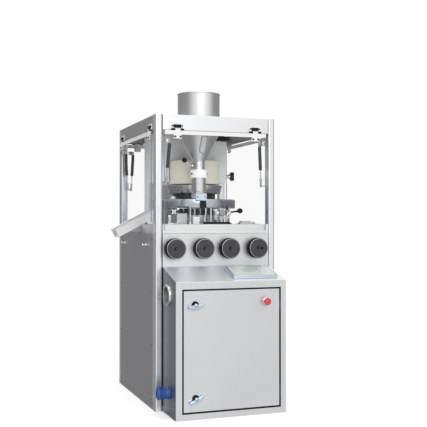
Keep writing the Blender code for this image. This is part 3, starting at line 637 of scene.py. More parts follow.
# gas struts: smooth tube and rod on the CAD bodies, and the window's bracket
JOINTS = {j["name"]: j for j in frame["joints"]}
for name, side in (("front_left", "front"), ("front_right", "front"), ("left", "left"),
                   ("rear", "rear")):
    foot = Vector(JOINTS[f"{name}_strut_lean"]["pos_m"])
    way = Vector(JOINTS[f"{name}_strut_slide"]["axis"]).normalized()
    turn, face, _ = SIDES[side]
    cross_v = (turn.to_3x3() @ Vector((1, 0, 0))).normalized()
    lean = Vector((0, 0, 1)).rotation_difference(way).to_matrix().to_4x4()
    length = 0.24274
    head = foot + way * length
    rb, tb = f"{name}_strut_rod", f"{name}_strut_tube"
    bm = rod_bm(foot - cross_v * 0.0050, foot + cross_v * 0.0050, 0.0080, sides=32)
    bm = rod_bm(foot + way * 0.005, foot + way * 0.032, 0.0068, 0.0060, 24, bm)
    bm = rod_bm(foot + way * 0.032, foot + way * 0.040, 0.0080, 0.0080, 6, bm)
    add(f"{name}_strut_clevis", bm, "zinc", body=rb, smooth=35)
    bm = rod_bm(foot + way * 0.030, foot + way * 0.183, 0.0040, sides=24)
    add(f"{name}_strut_piston", bm, "chrome", body=rb, replaces=rb)
    bm = lathe_bm([(0.0, 0.2310), (0.0060, 0.2310), (0.0088, 0.2285), (0.0095, 0.2250),
                   (0.0095, 0.0960), (0.0090, 0.0925), (0.0080, 0.0906), (0.0047, 0.0906),
                   (0.0047, 0.2200), (0.0, 0.2200)], foot, lean, 48)
    add(f"{name}_strut_cylinder", bm, "strut_black", body=tb, replaces=tb, smooth=50)
    bm = rod_bm(head - cross_v * 0.0050, head + cross_v * 0.0050, 0.0075, sides=32)
    bm = rod_bm(foot + way * 0.2290, foot + way * 0.2400, 0.0056, sides=24, bm=bm)
    add(f"{name}_strut_top_eye", bm, "zinc", body=tb, smooth=35)
    # bracket on the inner face of the window, its stud ending beside the eye
    sgn = -1 if (turn.inverted() @ head).x < 0 else 1
    loc = turn.inverted() @ head
    inner = -face - 0.0015
    bm = cube_bm((loc.x + sgn * 0.0075, inner + 0.0003, loc.z - 0.012),
                 (loc.x + sgn * 0.0105, loc.y + 0.006, loc.z + 0.012), 0.0010, steps=2)
    bm = cube_bm((min(loc.x + sgn * 0.0080, loc.x + sgn * 0.0270), inner + 0.0003, loc.z - 0.012),
                 (max(loc.x + sgn * 0.0080, loc.x + sgn * 0.0270), inner + 0.0032, loc.z + 0.012),
                 0.0010, steps=2, bm=bm)
    bm = rod_bm((loc.x + sgn * 0.0057, loc.y, loc.z), (loc.x + sgn * 0.0100, loc.y, loc.z), 0.0036,
                sides=20, bm=bm)
    bm.transform(turn)
    add(f"{name}_strut_bracket", bm, "zinc", body=side + "_window", smooth=35)

# polished edges of each acrylic sheet
for side, (turn, face, hx) in SIDES.items():
    back = turn.inverted()
    lo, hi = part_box(side + "_window")
    ends = [back @ lo, back @ hi]
    x0, x1 = sorted((ends[0].x, ends[1].x))
    yo, yi = -face - 0.0091, -face - 0.0014
    bm = None
    for xa, za, xb, zb in ((x0, lo.z + 0.02, x0, hi.z - 0.024), (x1, lo.z + 0.02, x1, hi.z - 0.024)):
        s_ = -1 if xa == x0 else 1
        bm = plate_bm([(xa + s_ * 0.0006, yo), (xa + s_ * 0.0006, yi), (xa - s_ * 0.0010, yi),
                       (xa - s_ * 0.0010, yo)], lo.z, hi.z - 0.024, "XY", bm=bm)
    bm.transform(turn)
    add(side + "_window_edges", bm, "acrylic_edge", body=side + "_window", bevel=0.0003)

# ------------------------------------------------------------------ hopper and feed
prof = [(0.1254, 1.8000), (0.1258, 1.7985), (0.1258, 1.7955), (0.1240, 1.7935), (0.1234, 1.7900)]
prof += [(0.1234, 1.5700), (0.1225, 1.5655), (0.1190, 1.5590), (0.0372, 1.4085),
         (0.0354, 1.4045), (0.0350, 1.3990), (0.0350, 1.3568),
         (0.0325, 1.3568), (0.0325, 1.4060), (0.1170, 1.5610), (0.1210, 1.5700), (0.1214, 1.7990)]
add("hopper_shell", lathe_bm(prof, (*hop, 0), ring=True, sides=128), "steel_hopper",
    replaces="hopper", smooth=50)


def cone_r(z):
    return 0.0354 + (z - 1.4045) * (0.1190 - 0.0354) / (1.5590 - 1.4045)


def on_cone(s, z, off):
    r = cone_r(z) + off
    t = -math.pi / 2 + s / cone_r(z)
    return Vector((hop[0] + r * math.cos(t), hop[1] + r * math.sin(t), z))


bead = [on_cone(a, b, 0.0016) for a, b in rrect(0.0, 1.4995, 0.036, 0.100, 0.0165, 10)]
bm = tube_bm(bead, 0.0020, 10, closed=True)
add("hopper_sight_frame", bm, "steel_turned", smooth=60)
bm = bmesh.new()
outline = rrect(0.0, 1.4995, 0.034, 0.098, 0.0155, 10)
ring_pts = [bm.verts.new(on_cone(a, b, 0.0014)) for a, b in outline]
mid = [bm.verts.new(on_cone(a * 0.5, 1.4995 + (b - 1.4995) * 0.75, 0.0014)) for a, b in outline]
core = [bm.verts.new(on_cone(0.0, 1.4995 + (b - 1.4995) * 0.45, 0.0014)) for a, b in outline]
for i in range(len(outline)):
    j = (i + 1) % len(outline)
    bm.faces.new((ring_pts[i], ring_pts[j], mid[j], mid[i]))
    bm.faces.new((mid[i], mid[j], core[j], core[i]))
bmesh.ops.remove_doubles(bm, verts=bm.verts, dist=1e-5)
pane = add("hopper_sight_glass", bm, "sight_glass", smooth=60)
thick = pane.modifiers.new("thick", "SOLIDIFY")
thick.thickness = 0.0009
thick.offset = 0.0

add("clamp_collar",
    lathe_bm([(0.0355, 1.3560), (0.0480, 1.3560), (0.0496, 1.3545), (0.0496, 1.3350),
              (0.0490, 1.3343), (0.0490, 1.3320), (0.0496, 1.3313), (0.0496, 1.3095),
              (0.0480, 1.3080), (0.0355, 1.3080)], (*hop, 0), ring=True), "white_plastic",
    replaces="hopper_clamp_collar", smooth=40)
bm = None
for a in (200, 340):
    t = a * D2R
    c = Vector((hop[0] + 0.0494 * math.cos(t), hop[1] + 0.0494 * math.sin(t), 1.332))
    bm = socket_screw(c, (math.cos(t), math.sin(t), 0), 0.0050, 0.0045, bm)
add("clamp_collar_screws", bm, "steel_dark")
add("feed_pipe",
    lathe_bm([(0.0388, 1.3075), (0.0418, 1.3075), (0.0418, 1.2270), (0.0440, 1.2250),
              (0.0440, 1.2175), (0.0430, 1.2160), (0.0388, 1.2160)], (*hop, 0), ring=True),
    "chrome", replaces="feed_tube", smooth=40)
x0, x1 = hop[0] - 0.033, hop[0] + 0.033
bm = plate_bm([(-0.3000, 1.1744), (-0.3000, 1.2155), (-0.2150, 1.2155), (-0.2150, 1.1862),
               (-0.2845, 1.1862), (-0.2845, 1.1744)], x0, x1, "YZ")
add("feeder_inlet", bm, "pale_blue", bevel=0.0015, segs=3, replaces="feeder_block")
bm = cube_bm((hop[0] - 0.004, -0.3000, 1.1330), (hop[0] + 0.031, -0.2850, 1.1735), 0.0018)
bm = cube_bm((hop[0] + 0.002, -0.2990, 1.0900), (hop[0] + 0.024, -0.2800, 1.1320), 0.0015, bm=bm)
add("feeder_link", bm, "black_plastic")
bm = None
for dx in (-0.024, 0.024):
    bm = socket_screw((hop[0] + dx, -0.3000, 1.1950), (0, -1, 0), 0.0035, 0.0025, bm)
add("feeder_inlet_screws", bm, "steel_dark")

# hopper gate lever: chrome boss and arm with a black ball
px = hop[0] - 0.0358
bm = lathe_bm([(0, -0.0270), (0.0060, -0.0270), (0.0078, -0.0255), (0.0078, -0.0120),
               (0.0110, -0.0105), (0.0120, -0.0085), (0.0120, 0.0000), (0, 0.0)],
              (px, -0.25, 1.380), spin("Y", 90), 32)
bm = tube_bm([(px - 0.021, -0.25, 1.379), (px - 0.030, -0.25, 1.388), (-0.1240, -0.25, 1.4040),
              (-0.1290, -0.25, 1.4090)], 0.0048, 16, bm=bm)
add("gate_lever_arm", bm, "chrome", body="hopper_gate", replaces="hopper_gate_lever", smooth=40)
add("gate_lever_ball", ball_bm((-0.1317, -0.25, 1.412), 0.0155), "black_gloss", body="hopper_gate",
    smooth=60)

# ------------------------------------------------------------------ turret, covers and rings
T = (0.0, -0.030)
add("cam_cover_drum",
    lathe_bm([(0, 1.4210), (0.1500, 1.4210), (0.1535, 1.4195), (0.1550, 1.4160),
              (0.1550, 1.2900), (0.1556, 1.2890), (0.1556, 1.2800), (0.1550, 1.2785),
              (0.1470, 1.2785), (0.1470, 1.4100), (0, 1.4100)], (*T, 0), sides=144), "cream",
    replaces="upper_cam_cover", smooth=45)
add("polished_dust_ring",
    lathe_bm([(0.1345, 1.2718), (0.1690, 1.2720), (0.1712, 1.2712), (0.1720, 1.2695),
              (0.1716, 1.2675), (0.1606, 1.2245), (0.1590, 1.2228), (0.1345, 1.2225)],
             (*T, 0), ring=True, sides=144), "steel_turned", replaces="dust_ring", smooth=50)
add("table_ring",
    lathe_bm([(0.1530, 1.1850), (0.2505, 1.1850), (0.2522, 1.1843), (0.2530, 1.1825),
              (0.2530, 1.1355), (0.2522, 1.1337), (0.2505, 1.1330), (0.1530, 1.1330)],
             (*T, 0), ring=True, sides=160), "steel_ring", replaces="table_guard_ring", smooth=50)
bm = None
PILLARS = ((-0.0969, -0.2496), (0.0278, -0.2620), (-0.160, 0.130), (0.160, 0.130))
for x, y in PILLARS:
    bm = lathe_bm([(0, 1.1329), (0.0060, 1.1329), (0.0060, 1.0480), (0.0105, 1.0470),
                   (0.0110, 1.0455), (0.0110, 1.0375), (0.0105, 1.0365), (0, 1.0365)],
                  (x, y, 0), None, 32, bm=bm)
add("ring_pillars", bm, "chrome", smooth=40)
bm = None
for k in range(8):
    t = (22.5 + 45 * k) * D2R
    bm = socket_screw((T[0] + 0.222 * math.cos(t), T[1] + 0.222 * math.sin(t), 1.1849), (0, 0, 1),
                      0.0055, 0.0040, bm)
add("ring_screws", bm, "steel_dark")
bm = lathe_bm([(0.0306, 1.2620), (0.1300, 1.2620), (0.1320, 1.2600), (0.1320, 1.2280),
               (0.1310, 1.2265), (0.0850, 1.2265), (0.0850, 1.1790), (0.0860, 1.1780),
               (0.1485, 1.1780), (0.1500, 1.1765), (0.1500, 1.1300), (0.1485, 1.1285),
               (0.0850, 1.1285), (0.0850, 1.0920), (0.1335, 1.0920), (0.1350, 1.0905),
               (0.1350, 1.0515), (0.1335, 1.0500), (0.0306, 1.0500)], (*T, 0), ring=True, sides=128)
add("turret_body", bm, "steel_turned", body="turret", replaces="turret", smooth=40)
PUNCHES = 24
up = low = dies = None
for k in range(PUNCHES):
    t = 2 * math.pi * (k + 0.5) / PUNCHES
    x, y = T[0] + 0.115 * math.cos(t), T[1] + 0.115 * math.sin(t)
    up = lathe_bm([(0, 1.2262), (0.0085, 1.2262), (0.0085, 1.1960), (0.0060, 1.1925),
                   (0.0060, 1.1795), (0, 1.1795)], (x, y, 0), None, 20, bm=up)
    low = lathe_bm([(0, 1.1278), (0.0060, 1.1278), (0.0060, 1.1180), (0.0085, 1.1150),
                    (0.0085, 1.0925), (0, 1.0925)], (x, y, 0), None, 20, bm=low)
    dies = lathe_bm([(0.0058, 1.1786), (0.0105, 1.1786), (0.0110, 1.1782), (0.0110, 1.1775),
                     (0.0058, 1.1775)], (x, y, 0), None, 24, ring=True, bm=dies)
# upper punches in dark steel and a black band round the punch zone: painted shade for the deep shadow
# above the table
add("upper_punches", up, "steel_dark", body="turret", replaces="upper_punch_set", smooth=40)
add("lower_punches", low, "steel_dark", body="turret", replaces="lower_punch_set", smooth=40)
add("die_bushes", dies, "steel_turned", body="turret", smooth=40)
add("punch_zone_shade_band",
    lathe_bm([(0.1275, 1.2215), (0.1300, 1.2215), (0.1310, 1.2205), (0.1310, 1.1880),
              (0.1300, 1.1870), (0.1275, 1.1870)], (*T, 0), ring=True, sides=144), "shade_black",
    body="turret", smooth=45)
teeth = 40


def tooth(k, t, r):
    return r if r < 0.13 else r - 0.0035 * (0.5 + 0.5 * math.cos(teeth * t))


bm = lathe_bm([(0.0306, 0.752), (0.052, 0.752), (0.052, 0.742), (0.138, 0.742), (0.140, 0.740),
               (0.140, 0.702), (0.138, 0.700), (0.052, 0.700), (0.052, 0.690), (0.0306, 0.690)],
              (*T, 0), ring=True, sides=320, wobble=tooth)
add("worm_wheel_bronze", bm, "bronze", body="turret", replaces="worm_wheel", smooth=40)

# worm shaft and pulleys
WY, WZ, MY, MZ = 0.137, 0.720, 0.270, 0.200
alongx = spin("Y", 90)


def pulley(r, lo, hi, shaft, mid):
    p = [(shaft, hi), (r - 0.001, hi), (r, hi - 0.001)]
    n = 2
    w = (hi - lo) / n
    for i in range(n):
        c = hi - w * (i + 0.5)
        p += [(r, c + 0.0055), (r - 0.009, c + 0.0025), (r - 0.009, c - 0.0025), (r, c - 0.0055)]
    p += [(r, lo + 0.001), (r - 0.001, lo), (shaft, lo)]
    return p


prof = [(0, 0.2405), (0.0112, 0.2405), (0.012, 0.2397)] + pulley(0.060, 0.205, 0.235, 0.012, 0)
prof += [(0.012, 0.060)]
for i in range(56):
    z = 0.055 - i * 0.002
    prof.append((0.0200 + 0.0040 * (0.5 + 0.5 * math.cos(i * 1.1)), z))
prof += [(0.012, -0.060), (0.012, -0.124), (0.011, -0.125), (0, -0.125)]
add("worm_shaft_steel", lathe_bm(prof, (0, WY, WZ), alongx, 48), "steel_turned", body="worm_shaft",
    replaces="worm_shaft", smooth=40)
prof = [(0, 0.2365), (0.0112, 0.2365), (0.012, 0.2357)] + pulley(0.040, 0.205, 0.235, 0.012, 0)
prof += [(0.012, 0.1505), (0, 0.1505)]
add("motor_pulley_steel", lathe_bm(prof, (0, MY, MZ), alongx, 48), "zinc", body="motor_pulley",
    replaces="motor_pulley", smooth=40)
for k, bx in enumerate((0.2125, 0.2275)):
    ra, rb_ = 0.0575, 0.0375
    d = Vector((MY - WY, MZ - WZ))
    L = d.length
    u = d / L
    n_ = Vector((-u.y, u.x))
    al = math.asin((ra - rb_) / L)
    pts = []
    base = math.atan2(u.y, u.x)
    for i in range(41):
        t = base + (math.pi / 2 - al) + (math.pi + 2 * al) * i / 40
        pts.append((bx, WY + ra * math.cos(t), WZ + ra * math.sin(t)))
    for i in range(33):
        t = base - (math.pi / 2 + al) + 0.0 + (math.pi - 2 * al) * i / 32
        pts.append((bx, MY + rb_ * math.cos(t), MZ + rb_ * math.sin(t)))
    add(f"drive_belt_{k + 1}", tube_bm(pts, 0.0050, 10, closed=True), "rubber", smooth=60)

# motor fins and fan cowl over the CAD motor
bm = None
for i in range(22):
    t = 2 * math.pi * i / 22
    if math.sin(t) < -0.75 or math.sin(t) > 0.93:
        continue
    m = Matrix.Translation((0, MY, MZ)) @ spin("X", t / D2R)
    bm = cube_bm((-0.105, 0.0795, -0.0014), (0.105, 0.0865, 0.0014), bm=bm, mtx=m)
add("motor_fins", bm, "motor_paint")
add("motor_cowl", lathe_bm([(0, -0.1660), (0.060, -0.1660), (0.078, -0.1560), (0.0830, -0.1400),
                            (0.0830, -0.1080), (0.0802, -0.1080), (0.0802, -0.1505), (0, -0.1505)],
                           (0, MY, MZ), alongx, 48), "motor_paint", smooth=40)

# ------------------------------------------------------------------ deck furniture
bm = cube_bm((-0.235, -0.2600, 1.0366), (-0.120, -0.2480, 1.0440), 0.0015)
bm = cube_bm((-0.232, -0.2590, 1.0430), (-0.214, -0.2490, 1.0900), 0.0015, bm=bm)
bm = cube_bm((-0.182, -0.2600, 1.0430), (-0.118, -0.2500, 1.1310), 0.0020, bm=bm)
add("clamp_bracket", bm, "steel_turned")
bm = cube_bm((-0.235, -0.2605, 1.0900), (-0.176, -0.2495, 1.1250), 0.0020)
add("star_knob_block", bm, "steel_dark")
bm = rod_bm((-0.148, -0.2800, 1.114), (-0.148, -0.2612, 1.114), 0.0055, sides=24)
bm = rod_bm((-0.158, -0.2800, 1.114), (-0.138, -0.2800, 1.114), 0.0060, sides=24, bm=bm)
add("clamp_knob_stem", bm, "chrome", body="clamp_knob")
bm = ball_bm((-0.1625, -0.2800, 1.114), 0.0148)
bm = ball_bm((-0.1335, -0.2800, 1.114), 0.0148, bm)
add("clamp_knob_balls", bm, "black_gloss", body="clamp_knob", replaces="feeder_clamp_knob",
    smooth=60)


def star(cx, cz, y0, y1, r, lobes, deep, mat, name, body="frame", tilt=0.0):
    pts = []
    for i in range(96):
        t = 2 * math.pi * i / 96
        rr = r - deep * (0.5 - 0.5 * math.cos(lobes * (t - tilt * D2R))) ** 0.8
        pts.append((cx + rr * math.cos(t), cz + rr * math.sin(t)))
    return add(name, plate_bm(pts, y0, y1, "XZ"), mat, body=body, bevel=0.0022, segs=3, smooth=50)


star(-0.2030, 1.1075, -0.2760, -0.2640, 0.0200, 4, 0.0120, "chrome", "star_knob", tilt=45)
bm = rod_bm((-0.2030, -0.2650, 1.1075), (-0.2030, -0.2600, 1.1075), 0.0090, sides=32)
bm = lathe_bm([(0, 0.0050), (0.0050, 0.0045), (0.0070, 0.0020), (0.0070, 0), (0, 0)],
              (-0.2030, -0.2760, 1.1075), spin("X", 90), 32, bm=bm)
add("star_knob_hub", bm, "chrome", smooth=40)

# white cap on its pin, small scraper block, white bracket, tray and plate
add("white_cap", lathe_bm([(0, 1.2020), (0.0120, 1.2020), (0.0145, 1.2000), (0.0150, 1.1960),
                           (0.0150, 1.1870), (0.0060, 1.1862), (0, 1.1862)], (-0.172, -0.150, 0),
                          None, 40), "white_plastic", smooth=40)
bm = cube_bm((-0.088, -0.2860, 1.0366), (-0.050, -0.2640, 1.0800), 0.0020)
add("scraper_block", bm, "white_plastic")
bm = cube_bm((-0.042, -0.2820, 1.0880), (-0.006, -0.2640, 1.1310), 0.0020)
bm = cube_bm((-0.020, -0.2780, 1.0366), (-0.010, -0.2680, 1.0900), 0.0015, bm=bm)
add("guide_bracket", bm, "pale_plastic")
bm = plate_bm(rrect(0.031, -0.350, 0.142, 0.080, 0.008, 6), 1.0366, 1.0400, "XY")
for lo_, hi_ in (((-0.040, -0.390, 1.0395), (0.102, -0.386, 1.0500)),
                 ((-0.040, -0.314, 1.0395), (0.102, -0.310, 1.0500)),
                 ((-0.040, -0.390, 1.0395), (-0.036, -0.310, 1.0500)),
                 ((0.098, -0.390, 1.0395), (0.102, -0.310, 1.0500))):
    bm = cube_bm(lo_, hi_, 0.0012, steps=2, bm=bm)
add("tool_tray", bm, "rubber")
bm = plate_bm(rrect(0.212, -0.368, 0.100, 0.052, 0.010, 6), 1.0366, 1.0460, "XY")
bm = plate_bm(rrect(0.202, -0.368, 0.060, 0.036, 0.008, 6), 1.0455, 1.0560, "XY", bm=bm)
for x in (0.172, 0.252):
    bm = socket_screw((x, -0.368, 1.0460), (0, 0, 1), 0.0060, 0.0060, bm)
add("deck_clamp_plate", bm, "zinc", bevel=0.0010)
bm = cube_bm((0.112, -0.150, 1.5450), (0.190, -0.085, 1.5690), 0.003, steps=3)
bm = rod_bm((0.190, -0.117, 1.557), (0.202, -0.117, 1.557), 0.0070, sides=24, bm=bm)
bm = cube_bm((0.135, -0.130, 1.5680), (0.167, -0.105, 1.6385), 0.002, steps=2, bm=bm)
add("chamber_switch_box", bm, "black_plastic")

# ejector lever: chrome hub and star, black arm and black ball; beside it a knurled grey scraper knob
hub = (0.140, -0.259, 1.104)


def knurl(k, t, r):
    return r - (0.0011 if (int(t / (2 * math.pi) * 48) % 2 and r > 0.019) else 0.0)


bm = lathe_bm([(0, 0.0120), (0.0150, 0.0120), (0.0195, 0.0105), (0.0210, 0.0085),
               (0.0210, -0.0080), (0.0195, -0.0098), (0, -0.0100)], hub, spin("X", 90), 96,
              wobble=knurl)
bm.free()
bm = lathe_bm([(0, 0.0110), (0.0085, 0.0110), (0.0100, 0.0095), (0.0100, -0.0100), (0, -0.0100)],
              hub, spin("X", 90), 48)
add("ejector_hub", bm, "chrome", body="ejector_lever", replaces="ejector_lever", smooth=30)
star(0.140, 1.104, -0.2715, -0.2620, 0.0210, 4, 0.0115, "chrome", "ejector_star",
     body="ejector_lever", tilt=45)
bm = lathe_bm([(0, 0.0042), (0.0150, 0.0042), (0.0190, 0.0034), (0.0205, 0.0015),
               (0.0205, -0.0070), (0.0190, -0.0085), (0, -0.0085)], (0.1030, -0.2560, 1.104),
              spin("X", 90), 96, wobble=knurl)
add("scraper_knob", bm, "grey_plastic", smooth=30)
bm = cube_bm((0.088, -0.2480, 1.0366), (0.118, -0.2380, 1.1250), 0.0018)
add("scraper_knob_post", bm, "steel_turned")
bm = lathe_bm([(0, 0.0060), (0.0080, 0.0060), (0.0095, 0.0045), (0.0095, 0.0000), (0.0040, 0.0),
               (0.0040, -0.0200), (0, -0.0200)], (0.0640, -0.2700, 1.104), spin("X", 90), 32)
add("scraper_button", bm, "white_plastic", smooth=40)
bm = cube_bm((0.054, -0.2520, 1.0366), (0.074, -0.2420, 1.1180), 0.0018)
add("scraper_button_post", bm, "steel_turned")
bm = tube_bm([(0.146, -0.2590, 1.1060), (0.185, -0.2565, 1.1115), (0.2050, -0.2548, 1.1148)],
             0.0048, 16)
bm = rod_bm((0.1950, -0.2555, 1.1131), (0.2060, -0.2546, 1.1150), 0.0080, sides=24, bm=bm)
bm = tube_bm([(0.136, -0.2695, 1.110), (0.128, -0.2695, 1.1260)], 0.0042, 16, bm=bm)
bm = ball_bm((0.127, -0.2695, 1.1280), 0.0065, bm, 24, 16)
add("ejector_arm", bm, "black_gloss", body="ejector_lever", smooth=40)
add("ejector_ball", ball_bm((0.216, -0.2540, 1.1165), 0.0160), "black_gloss", body="ejector_lever",
    smooth=60)
bm = cube_bm((0.128, -0.2480, 1.0366), (0.152, -0.2360, 1.1300), 0.0018)
bm = cube_bm((0.112, -0.2500, 1.0366), (0.168, -0.2300, 1.0450), 0.0018, bm=bm)
add("ejector_post", bm, "steel_turned")

# head knob: three lobes, chrome stem
lob = []
for k in range(72):
    t = 2 * math.pi * k / 72
    r = 0.0238 + 0.0058 * math.cos(3 * t)
    lob.append((r * math.cos(t), 1.336 + r * math.sin(t)))
add("head_knob_grip", plate_bm(lob, 0.2480, 0.2715, "YZ"), "black_gloss", body="head_knob",
    bevel=0.0045, segs=4, replaces="head_knob")
bm = lathe_bm([(0, 0.0345), (0.0130, 0.0345), (0.0130, 0.0180), (0.0100, 0.0160), (0.0100, 0.0),
               (0, 0)], (0.2155, 0.0, 1.336), alongx, 32)
add("head_knob_stem", bm, "chrome", body="head_knob", smooth=40)

# ------------------------------------------------------------------ chute
cad("discharge_chute", "steel_front")
ang = 27.5 * D2R
tipm = Matrix.Translation((-0.493, 0, 0.962)) @ Matrix.Rotation(-ang, 4, "Y")
bm = None
for y in (-0.1305, -0.0095):
    s = -1 if y < -0.05 else 1
    bm = rod_bm((0.000, y + s * 0.0, 0.0478), (0.265, y + s * 0.0, 0.0478), 0.0021, sides=16, bm=bm)
bm.transform(tipm)
add("chute_edge_rolls", bm, "steel_front")
bm = cube_bm((-0.325, -0.128, 1.0366), (-0.262, -0.118, 1.0590), 0.0015)
bm = cube_bm((-0.325, -0.022, 1.0366), (-0.262, -0.012, 1.0590), 0.0015, bm=bm)
add("chute_support", bm, "steel_front")

# ------------------------------------------------------------------ handwheels
xturn = spin("X", 90)     # profile +Z becomes -Y


def flutes(k, t, r):
    return r - (0.0007 * (0.5 + 0.5 * math.cos(60 * t)) if r > 0.0565 else 0.0)


for k, x in enumerate((-0.255, -0.087, 0.068, 0.238)):
    body = f"handwheel_{k + 1}"
    bm = lathe_bm([(0.0545, 0.0522), (0.0568, 0.0512), (0.0578, 0.0495), (0.0580, 0.0475),
                   (0.0580, 0.0150), (0.0560, 0.0110), (0.0510, 0.0080), (0.0300, 0.0065),
                   (0.0135, 0.0065), (0.0135, 0.0300), (0.0500, 0.0300)], (x, -edge_y, 0.900),
                  xturn, 240, ring=True, wobble=flutes)
    add(f"handwheel_{k + 1}_rim", bm, "wheel_black", body=body, replaces=body, smooth=40)
    # a lighter metal ring between rim and face, standing in as a painted highlight ring
    bm = lathe_bm([(0.0518, 0.0544), (0.0536, 0.0544), (0.0550, 0.0534), (0.0556, 0.0520),
                   (0.0550, 0.0508), (0.0518, 0.0508)], (x, -edge_y, 0.900), xturn, 160, ring=True)
    add(f"handwheel_{k + 1}_edge", bm, "wheel_highlight_ring", body=body, smooth=50)
    prof = [(0.0095, 0.0525), (0.0120, 0.0540)]
    r = 0.0135
    while r < 0.0500:
        prof += [(r, 0.0541), (r + 0.0006, 0.0535), (r + 0.0012, 0.0535), (r + 0.0018, 0.0541)]
        r += 0.0042
    prof += [(0.0518, 0.0541), (0.0518, 0.0500), (0.0095, 0.0500)]
    bm = lathe_bm(prof, (x, -edge_y, 0.900), xturn, 128, ring=True)
    add(f"handwheel_{k + 1}_face", bm, "wheel_face", body=body, smooth=30)
    bm = lathe_bm([(0, 0.0440), (0.0096, 0.0440), (0.0096, 0.0060), (0.0100, 0.0060),
                   (0.0100, -0.0350), (0, -0.0350)], (x, -edge_y, 0.900), xturn, 48)
    if k == 3:
        bm = rod_bm((x + 0.0180, -edge_y - 0.0530, 0.900), (x + 0.0180, -edge_y - 0.0570, 0.900),
                    0.0065, sides=40, bm=bm)
        bm = lathe_bm([(0, 0.0578), (0.0068, 0.0578), (0.0080, 0.0566), (0.0080, 0.0545),
                       (0.0060, 0.0530), (0, 0.0530)], (x + 0.0180, -edge_y, 0.900), xturn, 40,
                      bm=bm)
    add(f"handwheel_{k + 1}_hub", bm, "wheel_black", body=body, smooth=40)
    bm = lathe_bm([(0, 0.0555), (0.0026, 0.0555), (0.0032, 0.0578), (0.0052, 0.0578),
                   (0.0060, 0.0568), (0.0060, 0.0430), (0, 0.0430)], (x, -edge_y, 0.900), xturn, 32)
    add(f"handwheel_{k + 1}_bolt", bm, "steel_dark", body=body, smooth=40)
    add(f"handwheel_{k + 1}_bezel",
        lathe_bm([(0.0130, 0.0030), (0.0235, 0.0030), (0.0250, 0.0018), (0.0250, 0.0000),
                  (0.0130, 0.0000)], (x, -edge_y, 0.900), xturn, 64, ring=True), "zinc", smooth=40)

# ------------------------------------------------------------------ control cabinet
# cabinet door and what is on it
bm = plate_bm(rrect(0.002, 0.36175, 0.552, 0.6415, 0.003, 3), -0.6815 + 0.0005, -0.6790, "XZ")
door = add("door_skin", bm, "steel_cab", body="cabinet_door", bevel=0.0010, segs=3,
           replaces="cabinet_door")
bm = None
for a, b in (((-0.2735, -0.6790, 0.0415), (-0.2715, -0.6610, 0.6820)),
             ((0.2755, -0.6790, 0.0415), (0.2775, -0.6610, 0.6820)),
             ((-0.2715, -0.6790, 0.0415), (0.2755, -0.6610, 0.0435)),
             ((-0.2715, -0.6790, 0.6800), (0.2755, -0.6610, 0.6820))):
    bm = cube_bm(a, b, bm=bm)
for a, b in (((-0.2715, -0.6630, 0.0435), (-0.2500, -0.6612, 0.6800)),
             ((0.2540, -0.6630, 0.0435), (0.2755, -0.6612, 0.6800)),
             ((-0.2500, -0.6630, 0.0435), (0.2540, -0.6612, 0.0650)),
             ((-0.2500, -0.6630, 0.6585), (0.2540, -0.6612, 0.6800))):
    bm = cube_bm(a, b, bm=bm)
add("door_folds", bm, "steel_cab", body="cabinet_door", bevel=0.0004)
bm = None
for z in (0.20, 0.36, 0.52):
    bm = cube_bm((-0.2500, -0.6788, z - 0.012), (0.2540, -0.6680, z + 0.012), bm=bm)
add("door_stiffeners", bm, "steel_cab", body="cabinet_door", bevel=0.0006)
gasket = [(a, -0.6590, b) for a, b in rrect(0.002, 0.36175, 0.530, 0.620, 0.012, 6)]
add("door_gasket", tube_bm(gasket, 0.0022, 10, closed=True), "rubber", body="cabinet_door",
    smooth=60)
bm = None
for z in (0.130, 0.595):
    bm = rod_bm((0.2825, -0.6800, z - 0.030), (0.2825, -0.6800, z + 0.030), 0.0035, sides=24, bm=bm)
add("door_hinge_pins", bm, "steel_dark", smooth=40)
for name, (x, z, tilt) in (("latch_upper", (-0.210, 0.605, 8.0)), ("latch_lower", (-0.207, 0.109, 27.0))):
    tip = Matrix.Translation((x, 0, z)) @ Matrix.Rotation(-tilt * D2R, 4, "Y")
    bm = lathe_bm([(0, 0.0062), (0.0170, 0.0062), (0.0190, 0.0048), (0.0198, 0.0020),
                   (0.0198, 0.0002), (0, 0.0002)], (x, -0.6812, z + 0.0035), xturn, 64)
    add(name + "_rosette", bm, "black_plastic", body=name, replaces=name, smooth=40)
    out = []
    nn = 28
    for i in range(nn + 1):
        a = -0.0425 + 0.085 * i / nn
        w = math.sqrt(max(0.0, 1 - (a / 0.0425) ** 2))
        out.append((a, -0.0040 + 0.0070 * w ** 0.7 + 0.0045 * math.exp(-(a / 0.0125) ** 2)
                    + 2.5 * a * a))
    for i in range(nn - 1, 0, -1):
        a = -0.0425 + 0.085 * i / nn
        w = math.sqrt(max(0.0, 1 - (a / 0.0425) ** 2))
        out.append((a, -0.0060 - 0.0125 * w ** 0.7 + 2.5 * a * a))
    bm = plate_bm(out, -0.7005, -0.6876, "XZ", mtx=tip)
    add(name + "_wing", bm, "chrome_blue", body=name, bevel=0.0035, segs=4, smooth=60)
    bm = lathe_bm([(0, 0.0235), (0.0045, 0.0232), (0.0085, 0.0215), (0.0108, 0.0185),
                   (0.0115, 0.0150), (0.0115, 0.0060), (0, 0.0060)], (x, -0.6812, z + 0.0010), xturn, 48)
    add(name + "_dome", bm, "chrome_blue", body=name, smooth=60)
    bm = rod_bm((x, -0.6805, z), (x, -0.6520, z), 0.0070, sides=32)
    bm = cube_bm((-0.055, -0.6580, -0.008), (0.010, -0.6530, 0.008), 0.0015, bm=bm, mtx=tip)
    bm = rod_bm((x, -0.6530, z), (x, -0.6490, z), 0.0085, sides=6, bm=bm)
    add(name + "_spindle", bm, "zinc", body=name, smooth=35)

